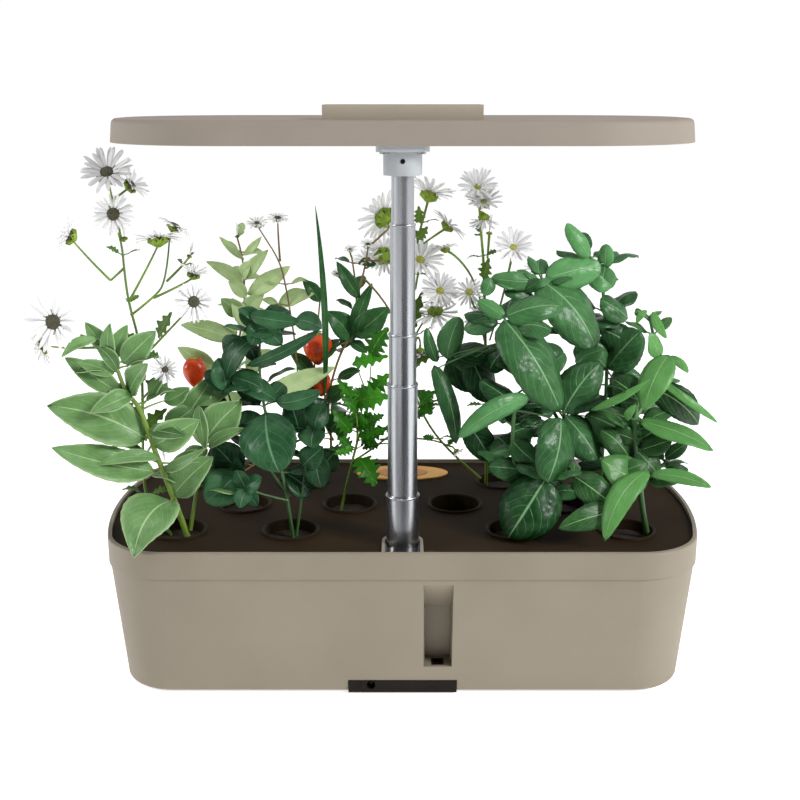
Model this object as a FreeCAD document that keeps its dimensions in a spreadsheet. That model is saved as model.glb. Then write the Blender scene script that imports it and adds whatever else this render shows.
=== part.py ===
import FreeCAD, Part
import math
import os
import re
import Sketcher
from FreeCAD import Placement, Rotation, Vector

os.makedirs("parts", exist_ok=True)
doc = FreeCAD.newDocument("hydroponic_garden")
sheet = doc.addObject("Spreadsheet::Sheet", "sizes")

# Driving dimensions in millimetres, angles in degrees.
# Z is up, X runs along the tank, and Y runs away from the side with the jack.
# The origin is on the table under the middle of the tank.
SIZES = {
    # tank and rim
    "half_length": 210, "half_depth": 102.5, "end_radius": 280, "corner_radius": 45,
    "rim_top": 106.3, "rim_height": 18.5, "rim_wall": 3, "rim_edge": 1.2, "band_proud": 1,
    "tank_wall": 2.6, "tank_draft": 5.3, "foot_height": 1.5, "floor_level": 17,
    "floor_thickness": 2.5, "bottom_edge": 3.5, "skirt_inset": 13.5,
    "ledge_width": 3.5, "ledge_height": 2.5, "fit_gap": 0.3, "running_gap": 0.05,
    # planting deck and grow baskets
    "deck_drop": 2.6, "deck_thickness": 2.4, "hole_pitch": 77.9, "row_pitch": 53,
    "hole_radius": 19.3, "basket_radius": 19, "basket_foot_radius": 14.5, "basket_depth": 45,
    "basket_wall": 1.3, "basket_lip_radius": 20.6, "basket_lip_height": 1.5,
    "basket_slot": 3.2, "sponge_drop": 6, "sponge_height": 30,
    # mast seat
    "mast_offset": 76, "post_radius": 12.4, "seat_radius": 13.9, "seat_wall": 2.1,
    "seat_drop": 1.1, "seat_depth": 8.2, "plate_thickness": 1.8, "plate_drop": 2.9,
    # mast tubes, numbered from the lamp down
    "tube_wall": 0.4, "lip_radius": 0.9, "lip_proud": 0.45, "guide_height": 12,
    "tube_radius_1": 7.2, "tube_radius_2": 8.1, "tube_radius_3": 9, "tube_radius_4": 9.9,
    "tube_radius_5": 11, "tube_top_2": 318.7, "tube_top_3": 248.3, "tube_top_4": 215,
    "tube_top_5": 138.7, "tube_length_1": 98, "tube_length_2": 102, "tube_length_3": 106,
    "tube_length_4": 110, "tube_foot": 3, "lead_radius": 3, "lead_hole": 3.5,
    # lamp head
    "lamp_level": 366.8, "lamp_height": 15.2, "lamp_half_length": 195, "lamp_half_depth": 95,
    "lamp_corner": 85, "lamp_wall": 2, "lamp_draft": 6, "lamp_edge": 3.5,
    "collar_radius": 12.2, "collar_height": 14.7, "flange_size": 33, "flange_height": 3.6,
    "flange_corner": 4, "tube_seat": 3, "snap_radius": 1.5, "snap_drop": 5.8,
    "snap_length": 4.4, "snap_proud": 0.3, "diffuser_thickness": 2, "boss_size": 30, "flange_screw": 11.5,
    "board_thickness": 1.6, "board_rise": 7.2, "board_inset": 14, "post_spacing_x": 120,
    "post_spacing_y": 55, "driver_length": 99, "driver_depth": 40, "driver_height": 9,
    "driver_wall": 1.6, "driver_front": 80, "led_size": 3.5, "led_height": 0.9,
    "led_pitch_x": 26, "led_pitch_y": 24,
    # near-side recess and its socket
    "recess_left": 13.7, "recess_width": 20.3, "recess_floor": 21.2, "recess_top": 85.4,
    "recess_back": 80.3, "recess_back_top": 59, "recess_draft": 1.6, "recess_wall": 1,
    "socket_width": 8.3, "socket_depth": 10, "socket_height": 5, "socket_offset": 87.5,
    # electronics bay, strip and jack
    "cover_thickness": 2.2, "strip_length": 74, "strip_height": 9, "strip_wall": 2,
    "strip_front": 94.6, "groove_offset": 28.9, "groove_width": 0.7,
    "jack_offset": 21.5, "jack_rise": 5.5, "jack_width": 9, "jack_length": 12,
    "jack_height": 6.6, "jack_bore": 3, "jack_pin": 1, "foot_radius": 8, "foot_recess": 0.6,
    "foot_x": 150, "foot_y": 60, "screw_radius": 1.3, "screw_head": 2.8, "screw_length": 7,
    "screw_x": 130, "screw_y": 62, "boss_radius": 4, "control_length": 70, "control_width": 36,
    "control_offset": 30,
    # water inlet
    "inlet_offset": 72, "bezel_major": 36.5, "bezel_minor": 17.5, "bezel_height": 1,
    "port_major": 20.2, "port_minor": 11.2, "throat_wall": 1.8, "throat_depth": 7.7,
    "throat_ledge": 1.7, "lid_thickness": 1.2, "lid_gap": 0.5, "hinge_reach": 12.6, "hinge_drop": 0.4,
    "hinge_radius": 1.3, "hinge_pin": 0.7, "hinge_half": 4.6, "strainer_depth": 10,
    "strainer_wall": 1, "strainer_hole": 1.6,
    # timer button
    "button_x": 18.8, "button_y": 95.2, "button_radius": 3.3, "button_proud": 0.7,
    "button_base": 0.9, "button_flange": 3.9, "switch_size": 12, "switch_depth": 6,
    # plants
    "leaf_thickness": 1.2, "petal_thickness": 2,
    "stalk_radius": 0.7,
    # pump
    "pump_x": 143, "pump_y": 34, "pump_length": 44, "pump_width": 34, "pump_height": 30,
    "pump_foot": 2, "pump_cover": 2.5, "chamber_radius": 11, "chamber_depth": 12,
    "impeller_radius": 9.6, "impeller_depth": 9, "hub_radius": 3.4, "shaft_radius": 1.5,
    "blade_thickness": 1.2, "outlet_radius": 4, "outlet_bore": 2.8, "outlet_height": 12,
}
for row, (alias, value) in enumerate(SIZES.items(), start=1):
    sheet.set("A%d" % row, alias)
    sheet.set("B%d" % row, str(value))
    sheet.setAlias("B%d" % row, alias)
doc.recompute()
WORD = re.compile(r"\b(" + "|".join(SIZES) + r")\b")
nodes = []

# Heights that many pieces share, as formulas of the named sizes.
SEAM = "(rim_top - rim_height)"
DECK_TOP = "(rim_top - deck_drop)"
DECK_UNDER = "(rim_top - deck_drop - deck_thickness)"
ALONG_Y = Rotation(Vector(1, 0, 0), -90)
ALONG_X = Rotation(Vector(0, 1, 0), 90)


def size(alias):
    """The value of one named size."""
    return float(sheet.get(alias))


def bind(item, prop, formula):
    """Tie a property to a formula of named sizes."""
    item.setExpression(prop, WORD.sub(lambda found: "sizes." + found.group(), str(formula)))


def place(item, spot, turn=None):
    """Tie an object's place to three formulas, with a fixed turn."""
    if turn:
        item.Placement = Placement(Vector(), turn)
    for axis, formula in zip("xyz", spot):
        bind(item, "Placement.Base." + axis, formula)
    return item


def box(name, centre, low, length, width, height):
    """A box over a centre point, standing on its low level."""
    item = doc.addObject("Part::Box", name)
    bind(item, "Length", length)
    bind(item, "Width", width)
    bind(item, "Height", height)
    corner = ("%s - (%s) / 2" % (centre[0], length), "%s - (%s) / 2" % (centre[1], width), low)
    return place(item, corner)


def rod(name, spot, radius, length, turn=None):
    item = doc.addObject("Part::Cylinder", name)
    bind(item, "Radius", radius)
    bind(item, "Height", length)
    return place(item, spot, turn)


def cone(name, spot, low_radius, high_radius, height):
    item = doc.addObject("Part::Cone", name)
    bind(item, "Radius1", low_radius)
    bind(item, "Radius2", high_radius)
    bind(item, "Height", height)
    return place(item, spot)


def oval(name, spot, major, minor, height):
    """An upright prism on an ellipse."""
    outline = doc.addObject("Part::Ellipse", name + "_outline")
    bind(outline, "MajorRadius", major)
    bind(outline, "MinorRadius", minor)
    place(outline, spot)
    item = doc.addObject("Part::Extrusion", name)
    item.Base = outline
    item.DirMode = "Custom"
    item.Dir = Vector(0, 0, 1)
    item.Solid = True
    bind(item, "LengthFwd", height)
    return item


def fuse(name, *pieces):
    item = doc.addObject("Part::MultiFuse", name)
    item.Shapes = list(pieces)
    return item


def cut(name, base, *tools):
    item = doc.addObject("Part::Cut", name)
    item.Base = base
    item.Tool = tools[0] if len(tools) == 1 else fuse(name + "_tools", *tools)
    return item


def sub_part(label, item):
    """Name a finished piece of the object."""
    item.Label = label
    nodes.append(item)
    return item


def grouped(label, pieces):
    """One node of separate like solids."""
    item = doc.addObject("Part::Feature", label + "_group")
    item.Shape = Part.makeCompound(pieces)
    return sub_part(label, item)


def flat_sketch(body, name, level):
    """A sketch on the body's own horizontal plane, raised to a level."""
    plane = next(f for f in body.Origin.OriginFeatures if f.Role == "XY_Plane")
    sketch = body.newObject("Sketcher::SketchObject", name)
    sketch.AttachmentSupport = (plane, [""])
    sketch.MapMode = "FlatFace"
    bind(sketch, "AttachmentOffset.Base.z", level)
    return sketch


def constrain(sketch, kind, *given, formula=None):
    """Add a constraint, tied to a formula where it has a value."""
    index = sketch.addConstraint(Sketcher.Constraint(kind, *given))
    if formula:
        bind(sketch, "Constraints[%d]" % index, formula)


def draw_loop(sketch, edges, radius, corner_formula):
    """Lines or arcs joined by tangent corner arcs; every second edge is a corner."""
    for edge in edges:
        sketch.addGeometry(edge)
    for index in range(len(edges)):
        following = (index + 1) % len(edges)
        constrain(sketch, "Tangent", index, 2, following, 1)
    for index in range(3, len(edges), 2):
        constrain(sketch, "Equal", 1, index)
    constrain(sketch, "Radius", 1, radius, formula=corner_formula)


def arc(x, y, radius, start, end):
    circle = Part.Circle(Vector(x, y, 0), Vector(0, 0, 1), radius)
    return Part.ArcOfCircle(circle, start, end)


def line(x1, y1, x2, y2):
    return Part.LineSegment(Vector(x1, y1, 0), Vector(x2, y2, 0))


def tank_outline(body, level, insets):
    """The tank's plan, drawn in by named insets: straight sides, bowed ends, round corners."""
    inset = "(" + " + ".join(insets) + ")" if insets else "0"
    inset_value = sum(size(alias) for alias in insets)
    sketch = flat_sketch(body, body.Name + "_outline", level)
    length = size("half_length") - inset_value
    depth = size("half_depth") - inset_value
    bow = size("end_radius") - inset_value
    corner = size("corner_radius") - inset_value
    centre = length - bow
    corner_y = depth - corner
    corner_x = centre + math.sqrt((bow - corner) ** 2 - corner_y ** 2)
    lean = math.atan2(corner_y, corner_x - centre)
    quarter = math.pi / 2
    edges = [
        line(-corner_x, -depth, corner_x, -depth),
        arc(corner_x, -corner_y, corner, -quarter, -lean),
        arc(centre, 0, bow, -lean, lean),
        arc(corner_x, corner_y, corner, lean, quarter),
        line(corner_x, depth, -corner_x, depth),
        arc(-corner_x, corner_y, corner, quarter, math.pi - lean),
        arc(-centre, 0, bow, math.pi - lean, math.pi + lean),
        arc(-corner_x, -corner_y, corner, math.pi + lean, 3 * quarter),
    ]
    draw_loop(sketch, edges, corner, "corner_radius - " + inset)
    constrain(sketch, "Equal", 2, 6)
    constrain(sketch, "Radius", 2, bow, formula="end_radius - " + inset)
    constrain(sketch, "PointOnObject", 2, 3, -1)
    constrain(sketch, "PointOnObject", 6, 3, -1)
    constrain(sketch, "DistanceX", 2, 3, -1, 1, -centre, formula="end_radius - half_length")
    constrain(sketch, "DistanceX", -1, 1, 6, 3, -centre, formula="end_radius - half_length")
    constrain(sketch, "Horizontal", 0)
    constrain(sketch, "Horizontal", 4)
    constrain(sketch, "DistanceY", 0, 1, -1, 1, depth, formula="half_depth - " + inset)
    constrain(sketch, "DistanceY", -1, 1, 4, 1, depth, formula="half_depth - " + inset)
    return sketch


def round_outline(body, level, half_length, half_depth, corner, values):
    """A rectangle with round corners, given as formulas and as their values."""
    sketch = flat_sketch(body, body.Name + "_outline", level)
    length, depth, radius = values
    x = length - radius
    y = depth - radius
    quarter = math.pi / 2
    edges = [
        line(-x, -depth, x, -depth),
        arc(x, -y, radius, -quarter, 0),
        line(length, -y, length, y),
        arc(x, y, radius, 0, quarter),
        line(x, depth, -x, depth),
        arc(-x, y, radius, quarter, math.pi),
        line(-length, y, -length, -y),
        arc(-x, -y, radius, math.pi, 3 * quarter),
    ]
    draw_loop(sketch, edges, radius, corner)
    for index in (0, 4):
        constrain(sketch, "Horizontal", index)
    for index in (2, 6):
        constrain(sketch, "Vertical", index)
    constrain(sketch, "DistanceY", 0, 1, -1, 1, depth, formula=half_depth)
    constrain(sketch, "DistanceY", -1, 1, 4, 1, depth, formula=half_depth)
    constrain(sketch, "DistanceX", -1, 1, 2, 1, length, formula=half_length)
    constrain(sketch, "DistanceX", 6, 1, -1, 1, length, formula=half_length)
    return sketch


def pad(body, sketch, height, downwards=False, draft=None):
    """A pad on a sketch, drawn in by its draft as it leaves the sketch."""
    item = body.newObject("PartDesign::Pad", body.Name + "_pad")
    item.Profile = sketch
    bind(item, "Length", height)
    item.Reversed = downwards
    if draft:
        bind(item, "TaperAngle", "-(" + draft + ")")
    sketch.Visibility = False
    return item


def round_edges(body, feature, radius, level):
    """Round the edges of a feature that lie at one level."""
    doc.recompute()
    names = []
    for index, edge in enumerate(feature.Shape.Edges, start=1):
        if all(abs(point.Z - level) < 0.01 for point in edge.Vertexes):
            names.append("Edge%d" % index)
    item = body.newObject("PartDesign::Fillet", body.Name + "_round")
    item.Base = (feature, names)
    bind(item, "Radius", radius)
    return item


def tank_body(name, level, insets, height, downwards=False, draft=None):
    """A body on the tank's plan."""
    body = doc.addObject("PartDesign::Body", name)
    sketch = tank_outline(body, level, insets)
    return body, pad(body, sketch, height, downwards, draft)


def lamp_body(name, level, insets, height, draft=None):
    """A body on the lamp's plan, drawn in by named insets."""
    body = doc.addObject("PartDesign::Body", name)
    plan = ("lamp_half_length", "lamp_half_depth", "lamp_corner")
    formulas = [" - ".join((alias, *insets)) for alias in plan]
    values = [size(alias) - sum(size(inset) for inset in insets) for alias in plan]
    sketch = round_outline(body, level, *formulas, values)
    return body, pad(body, sketch, height, draft=draft)


def recess_shape():
    """The near-side recess: a drafted pocket with a sloping ceiling."""
    item = doc.addObject("Part::Wedge", "recess_space")
    bind(item, "Xmin", "recess_left")
    bind(item, "Xmax", "recess_left + recess_width")
    bind(item, "X2min", "recess_left + recess_draft")
    bind(item, "X2max", "recess_left + recess_width - recess_draft")
    bind(item, "Ymin", "-half_depth")
    bind(item, "Ymax", "-recess_back")
    bind(item, "Zmin", "recess_floor")
    bind(item, "Zmax", "recess_top")
    bind(item, "Z2min", "recess_floor")
    bind(item, "Z2max", "recess_back_top")
    return item


def tank_shell():
    """The drafted water tank with its recess, its bay and the strip's notch."""
    outer, outer_pad = tank_body("tank_outer", SEAM, ("band_proud",),
                                 SEAM + " - foot_height", True, "tank_draft")
    round_edges(outer, outer_pad, "bottom_edge", size("foot_height"))
    water, _ = tank_body("tank_water", SEAM, ("band_proud", "tank_wall"),
                         SEAM + " - floor_level", True, "tank_draft")
    recess_middle = "recess_left + recess_width / 2"
    recess_block = box("recess_block", (recess_middle, "-recess_back + tank_wall"
                                        " - half_depth / 4"), "floor_level",
                       "recess_width + 2 * recess_wall", "half_depth / 2",
                       SEAM + " - floor_level")
    water_space = cut("tank_water_space", water, recess_block)
    bay, _ = tank_body("tank_bay", "foot_height", ("skirt_inset",),
                       "floor_level - floor_thickness - foot_height")
    notch = box("strip_notch", ("0", "-strip_front + skirt_inset / 2"), "foot_height",
                "strip_length + fit_gap", "2 * skirt_inset", "strip_height + fit_gap / 2")
    socket_hole = box("socket_hole", (recess_middle, "-socket_offset"),
                      "recess_floor - socket_height - fit_gap", "socket_width + fit_gap",
                      "socket_depth + fit_gap", "socket_height + 1")
    hollow = cut("tank_hollow", outer, water_space, bay, notch, recess_shape(), socket_hole)
    bosses = []
    for index, (x, y) in enumerate(screw_spots()):
        low = "foot_height + cover_thickness"
        height = "floor_level - floor_thickness / 2 - foot_height - cover_thickness"
        boss = rod("cover_boss_%d" % index, (x, y, low), "boss_radius", height)
        hole = rod("cover_boss_hole_%d" % index, (x, y, low), "screw_radius + running_gap",
                   "screw_length")
        bosses.append(cut("cover_boss_%d_bored" % index, boss, hole))
    return sub_part("tank_shell", fuse("tank_shell_whole", hollow, *bosses))


def screw_spots():
    """Where the bottom cover is screwed to the tank."""
    return [(sign_x + "screw_x", sign_y + "screw_y")
            for sign_x in ("-", "0 * ", "") for sign_y in ("-", "")]


def rim_frame():
    """The band on top of the tank, with the ledge that carries the deck."""
    band, band_pad = tank_body("rim_band", SEAM, (), "rim_height")
    upper, _ = tank_body("rim_upper", DECK_UNDER, ("rim_wall",),
                         "deck_drop + deck_thickness + 1")
    lower, _ = tank_body("rim_lower", SEAM + " - 1", ("rim_wall", "ledge_width"),
                         "rim_height + 2")
    under, _ = tank_body("rim_under", SEAM + " - 1", ("rim_wall",),
                         "rim_height + 1 - deck_drop - deck_thickness - ledge_height")
    round_edges(band, band_pad, "rim_edge", size("rim_top"))
    gap = box("ledge_gap", ("3", "-half_depth + rim_wall + ledge_width / 2"),
              DECK_UNDER + " - 2 * ledge_height", "2 * (button_x + switch_size)",
              "ledge_width", "3 * ledge_height")
    return sub_part("rim_frame", cut("rim_frame_whole", band, upper, lower, under, gap))


def hole_spots():
    """The twelve basket places: rows of four, with the outer rows' middle left free."""
    near = [("%d * hole_pitch" % step, "-row_pitch") for step in (-2, -1, 1, 2)]
    middle = [("%s * hole_pitch" % step, "0") for step in ("-1.5", "-0.5", "0.5", "1.5")]
    far = [("%d * hole_pitch" % step, "row_pitch") for step in (-2, -1, 1, 2)]
    return near + middle + far


def planting_deck():
    """The dark lid of the tank, with places for the baskets, mast, inlet and button."""
    plate, plate_pad = tank_body("deck_plate", DECK_UNDER, ("rim_wall", "fit_gap"),
                                 "deck_thickness")
    tools = []
    for index, (x, y) in enumerate(hole_spots()):
        tools.append(rod("deck_hole_%d" % index, (x, y, DECK_UNDER + " - 1"), "hole_radius",
                         "deck_thickness + 2"))
    tools.append(seat_outline("deck_seat_gap", "seat_radius + fit_gap", DECK_UNDER + " - 1",
                              "deck_thickness + 2"))
    tools.append(oval("deck_inlet", ("0", "inlet_offset", DECK_UNDER + " - 1"),
                      "port_major + throat_wall + fit_gap", "port_minor + throat_wall + fit_gap",
                      "deck_thickness + 2"))
    tools.append(box("deck_hinge_gap", ("0", "inlet_offset + hinge_reach"),
                     DECK_UNDER + " - 1", "4 * hinge_half + fit_gap", "4 * hinge_radius",
                     "deck_thickness + 2"))
    tools.append(rod("deck_button_hole", ("button_x", "-button_y", DECK_UNDER + " - 1"),
                     "button_radius + fit_gap", "deck_thickness + 2"))
    return sub_part("planting_deck", cut("planting_deck_whole", plate, *tools))


def seat_outline(name, radius, low, height):
    """A U in plan: a half round behind the mast, with straight legs to the near rim."""
    back = rod(name + "_round", ("0", "-mast_offset", low), radius, height)
    legs = box(name + "_legs", ("0", "-(mast_offset + half_depth - rim_wall) / 2"), low,
               "2 * (" + radius + ")", "half_depth - rim_wall - mast_offset", height)
    return fuse(name, back, legs)


def mast_seat():
    """The U-shaped wall and post that hold the lowest tube, and the plate inside the U."""
    wall_low = "(rim_top - seat_drop - seat_depth)"
    wall = seat_outline("seat_wall", "seat_radius", wall_low,
                        "seat_depth")
    post = rod("seat_post", ("0", "-mast_offset", "floor_level"), "post_radius",
               DECK_UNDER + " - floor_level")
    plate_low = "rim_top - plate_drop - plate_thickness"
    inner = seat_outline("seat_inner", "seat_radius - seat_wall", plate_low,
                         "2 * plate_thickness + plate_drop")
    bore = rod("seat_bore", ("0", "-mast_offset", "floor_level + tube_foot"),
               "tube_radius_5 + running_gap", "rim_top")
    solid = fuse("seat_solid", wall, post)
    sub_part("mast_seat", cut("mast_seat_whole", solid, inner, bore))
    plate = seat_outline("foot_plate", "seat_radius - seat_wall - fit_gap / 3", plate_low,
                         "plate_thickness")
    hole = rod("foot_plate_hole", ("0", "-mast_offset", plate_low + " - 1"),
               "tube_radius_5 + running_gap", "plate_thickness + 2")
    sub_part("mast_foot_plate", cut("mast_foot_plate_whole", plate, hole))


def tube_low(index):
    """The formula of a tube's lower end."""
    if index == 5:
        return "(floor_level + tube_foot)"
    if index == 1:
        return "(lamp_level - tube_seat - tube_length_1)"
    return "(tube_top_%d - tube_length_%d)" % (index, index)


def mast_tube(index):
    """One telescoping tube; all but the top one have a rolled lip round the next tube."""
    low = tube_low(index)
    high = "lamp_level - tube_seat" if index == 1 else "tube_top_%d" % index
    radius = "tube_radius_%d" % index
    outer = rod("tube_%d_outer" % index, ("0", "-mast_offset", low), radius, high + " - " + low)
    if index == 1:
        bore = rod("tube_1_bore", ("0", "-mast_offset", low + " - 1"), "tube_radius_1 - tube_wall",
                   "tube_length_1 + 2")
        snap_hole = rod("tube_1_snap", ("0", "-mast_offset - tube_radius_1 - 1",
                                        "lamp_level - flange_height - snap_drop"),
                        "snap_radius + fit_gap", "tube_radius_1", ALONG_Y)
        return sub_part("mast_tube_1", cut("mast_tube_1_whole", outer, bore, snap_hole))
    lip = doc.addObject("Part::Torus", "tube_%d_lip" % index)
    bind(lip, "Radius1", radius + " + lip_proud - lip_radius")
    bind(lip, "Radius2", "lip_radius")
    place(lip, ("0", "-mast_offset", high + " - lip_radius"))
    bore = rod("tube_%d_bore" % index, ("0", "-mast_offset", low + " - 1"),
               radius + " - tube_wall", high + " - 2 * lip_radius + 1 - " + low)
    throat = rod("tube_%d_throat" % index, ("0", "-mast_offset", low + " - 1"),
                 "tube_radius_%d + running_gap" % (index - 1), high + " + 2 - " + low)
    whole = cut("mast_tube_%d_whole" % index, fuse("tube_%d_solid" % index, outer, lip),
                bore, throat)
    return sub_part("mast_tube_%d" % index, whole)


def tube_guide(index):
    """The plastic bush at a tube's foot, which slides in the next wider tube."""
    low = tube_low(index)
    ring = rod("guide_%d_ring" % index, ("0", "-mast_offset", low),
               "tube_radius_%d - tube_wall - running_gap" % (index + 1), "guide_height")
    bore = rod("guide_%d_bore" % index, ("0", "-mast_offset", low + " - 1"),
               "tube_radius_%d + running_gap / 2" % index, "guide_height + 2")
    return sub_part("tube_guide_%d" % index, cut("tube_guide_%d_whole" % index, ring, bore))


def lamp_lead():
    """The outside of the curly lead in the mast."""
    low = "floor_level + tube_foot"
    lead = rod("lead_outside", ("0", "-mast_offset", low), "lead_radius",
               "lamp_level - tube_seat - " + low)
    return sub_part("lamp_lead", lead)


def grow_basket():
    """One basket at the origin: a tapered cup with side slots and a round lip."""
    cup = cone("basket_cup", ("0", "0", "-basket_depth"), "basket_foot_radius", "basket_radius",
               "basket_depth")
    lip_middle = "(basket_lip_radius + basket_radius - basket_wall) / 2"
    lip = doc.addObject("Part::Torus", "basket_lip")
    bind(lip, "Radius1", lip_middle)
    bind(lip, "Radius2", "basket_lip_radius - " + lip_middle)
    flange = rod("basket_flange", ("0", "0", "0"), "basket_lip_radius - basket_lip_height / 2",
                 "basket_lip_height / 2")
    upper = rod("basket_above", ("0", "0", "0"), "basket_lip_radius + 1", "basket_lip_height")
    rounded = doc.addObject("Part::Common", "basket_lip_upper")
    rounded.Base = lip
    rounded.Tool = upper
    hollow = cone("basket_hollow", ("0", "0", "basket_wall - basket_depth"),
                  "basket_foot_radius - basket_wall", "basket_radius - basket_wall",
                  "basket_depth - basket_wall")
    mouth = rod("basket_mouth", ("0", "0", "-0.01"), "basket_radius - basket_wall",
                "basket_lip_height + 2")
    slots = []
    for index in range(3):
        slot = box("basket_slot_%d" % index, ("0", "0"), "-basket_depth - 1",
                   "2 * basket_radius", "basket_slot", "basket_depth * 0.6")
        slot.Placement = Placement(Vector(), Rotation(Vector(0, 0, 1), 60 * index))
        reach = (-math.cos(math.radians(60 * index)), -math.sin(math.radians(60 * index)))
        bind(slot, "Placement.Base.x", "%.6f * basket_radius + %.6f * basket_slot / 2"
             % (reach[0], -reach[1]))
        bind(slot, "Placement.Base.y", "%.6f * basket_radius + %.6f * basket_slot / 2"
             % (reach[1], reach[0]))
        slots.append(slot)
    return cut("basket_whole", fuse("basket_solid", cup, flange, rounded), hollow, mouth, *slots)


def grow_baskets():
    """Eleven planted baskets with their sponges, and the empty one, which lifts out."""
    basket = grow_basket()
    sponge = cone("sponge_plug", ("0", "0", "-sponge_drop - sponge_height"),
                  "basket_foot_radius - basket_wall + (basket_depth - sponge_drop - sponge_height)"
                  " * (basket_radius - basket_foot_radius) / basket_depth - fit_gap",
                  "basket_radius - basket_wall - fit_gap"
                  " - sponge_drop * (basket_radius - basket_foot_radius) / basket_depth",
                  "sponge_height")
    doc.recompute()
    baskets = []
    sponges = []
    for index, (x, y) in enumerate(hole_values()):
        spot = Vector(x, y, size("rim_top") - size("deck_drop"))
        if index == EMPTY_HOLE:
            empty = doc.addObject("Part::Feature", "empty_basket_copy")
            empty.Shape = basket.Shape.translated(spot)
            sub_part("empty_basket", empty)
            continue
        baskets.append(basket.Shape.translated(spot))
        sponges.append(sponge.Shape.translated(spot))
    grouped("grow_baskets", baskets)
    grouped("grow_sponges", sponges)


def hole_values():
    """The basket places in millimetres."""
    pitch = size("hole_pitch")
    row_pitch = size("row_pitch")
    outer = (-2 * pitch, -pitch, pitch, 2 * pitch)
    middle = (-1.5 * pitch, -0.5 * pitch, 0.5 * pitch, 1.5 * pitch)
    rows = ((outer, -row_pitch), (middle, 0), (outer, row_pitch))
    return [(x, y) for row, y in rows for x in row]


def water_inlet():
    """The gold bezel with its throat, the copper lid on its pin, and the strainer."""
    middle = ("0", "inlet_offset")
    face = oval("bezel_face", (*middle, DECK_TOP), "bezel_major", "bezel_minor", "bezel_height")
    throat_low = DECK_TOP + " - throat_depth"
    throat = oval("bezel_throat", (*middle, throat_low), "port_major + throat_wall",
                  "port_minor + throat_wall", "throat_depth")
    axis_y = "inlet_offset + hinge_reach"
    axis_z = "(rim_top - deck_drop - hinge_drop)"
    ears = box("bezel_ears", ("0", axis_y), DECK_UNDER, "4 * hinge_half",
               "2 * hinge_radius + fit_gap", "deck_thickness")
    port = oval("bezel_port", (*middle, throat_low + " + throat_ledge"), "port_major",
                "port_minor", "throat_depth + 2 * bezel_height")
    neck = oval("bezel_neck", (*middle, throat_low + " - 1"), "port_major - throat_ledge",
                "port_minor - throat_ledge", "throat_depth")
    slot = box("bezel_slot", ("0", axis_y + " - hinge_radius / 2"), DECK_UNDER + " - 1",
               "2 * (hinge_half + fit_gap)", "3 * hinge_radius + 2 * fit_gap",
               "2 * deck_thickness")
    pin_hole = rod("bezel_pin_hole", ("-2 * hinge_half", axis_y, axis_z),
                   "hinge_pin + running_gap", "4 * hinge_half", ALONG_X)
    solid = fuse("bezel_solid", face, throat, ears)
    sub_part("inlet_bezel", cut("inlet_bezel_whole", solid, port, neck, slot, pin_hole))
    sub_part("lid_pin", rod("lid_pin_rod", ("-1.8 * hinge_half", axis_y, axis_z), "hinge_pin",
                            "3.6 * hinge_half", ALONG_X))
    lid_low = DECK_TOP
    cover = oval("lid_cover", (*middle, lid_low), "port_major - lid_gap",
                 "port_minor - lid_gap", "lid_thickness")
    knuckle = rod("lid_knuckle", ("-hinge_half", axis_y, axis_z), "hinge_radius",
                  "2 * hinge_half", ALONG_X)
    arm_y = "inlet_offset + (hinge_reach + port_minor - hinge_radius) / 2"
    arm = box("lid_arm", ("0", arm_y), lid_low,
              "2 * hinge_half", "hinge_reach - port_minor + hinge_radius",
              "hinge_radius - hinge_drop")
    bore = rod("lid_bore", ("-2 * hinge_half", axis_y, axis_z), "hinge_pin + running_gap",
               "4 * hinge_half", ALONG_X)
    lip = oval("lid_grip", ("0", "inlet_offset - port_minor / 2", lid_low + " + lid_thickness"),
               "port_minor / 2", "lid_thickness", "lid_thickness / 2")
    lid_solid = fuse("lid_solid", cover, knuckle, arm, lip)
    sub_part("inlet_lid", cut("inlet_lid_whole", lid_solid, bore))
    shelf = throat_low + " + throat_ledge"
    cup = oval("strainer_cup", (*middle, shelf + " - strainer_depth"),
               "port_major - throat_ledge - fit_gap", "port_minor - throat_ledge - fit_gap",
               "strainer_depth")
    flange = oval("strainer_flange", (*middle, shelf), "port_major - fit_gap",
                  "port_minor - fit_gap", "strainer_wall")
    inside = oval("strainer_inside", (*middle, shelf + " - strainer_depth + strainer_wall"),
                  "port_major - throat_ledge - fit_gap - strainer_wall",
                  "port_minor - throat_ledge - fit_gap - strainer_wall", "2 * strainer_depth")
    holes = []
    for row in (-1, 0, 1):
        for step in range(-3, 4):
            x = "%d * 2.6 * strainer_hole" % step
            y = "inlet_offset + %d * 2.6 * strainer_hole" % row
            if row == 0 or abs(step) < 3:
                holes.append(rod("strainer_hole_%d_%d" % (row + 1, step + 3),
                                 (x, y, shelf + " - strainer_depth - 1"), "strainer_hole",
                                 "strainer_wall + 2"))
    sub_part("inlet_strainer", cut("inlet_strainer_whole", fuse("strainer_solid", cup, flange),
                                   inside, *holes))


def timer_button():
    """The small black push button beside the mast, and its switch under the deck."""
    spot = ("button_x", "-button_y")
    flange_top = DECK_UNDER + " - fit_gap / 2"
    cap = rod("button_cap", (*spot, flange_top), "button_radius",
              "deck_thickness + button_proud + fit_gap / 2")
    flange = rod("button_flange_disc", (*spot, flange_top + " - button_base"),
                 "button_flange", "button_base")
    sub_part("timer_button", fuse("timer_button_whole", cap, flange))
    case = box("switch_case", ("button_x + 1.4", "-button_y + switch_size / 2 - button_flange"),
               DECK_UNDER + " - switch_depth", "switch_size",
               "switch_size", "switch_depth")
    well = rod("switch_well", (*spot, DECK_UNDER + " - switch_depth / 2"),
               "button_flange + fit_gap / 2", "switch_depth")
    sub_part("timer_switch", cut("timer_switch_whole", case, well))


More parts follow.
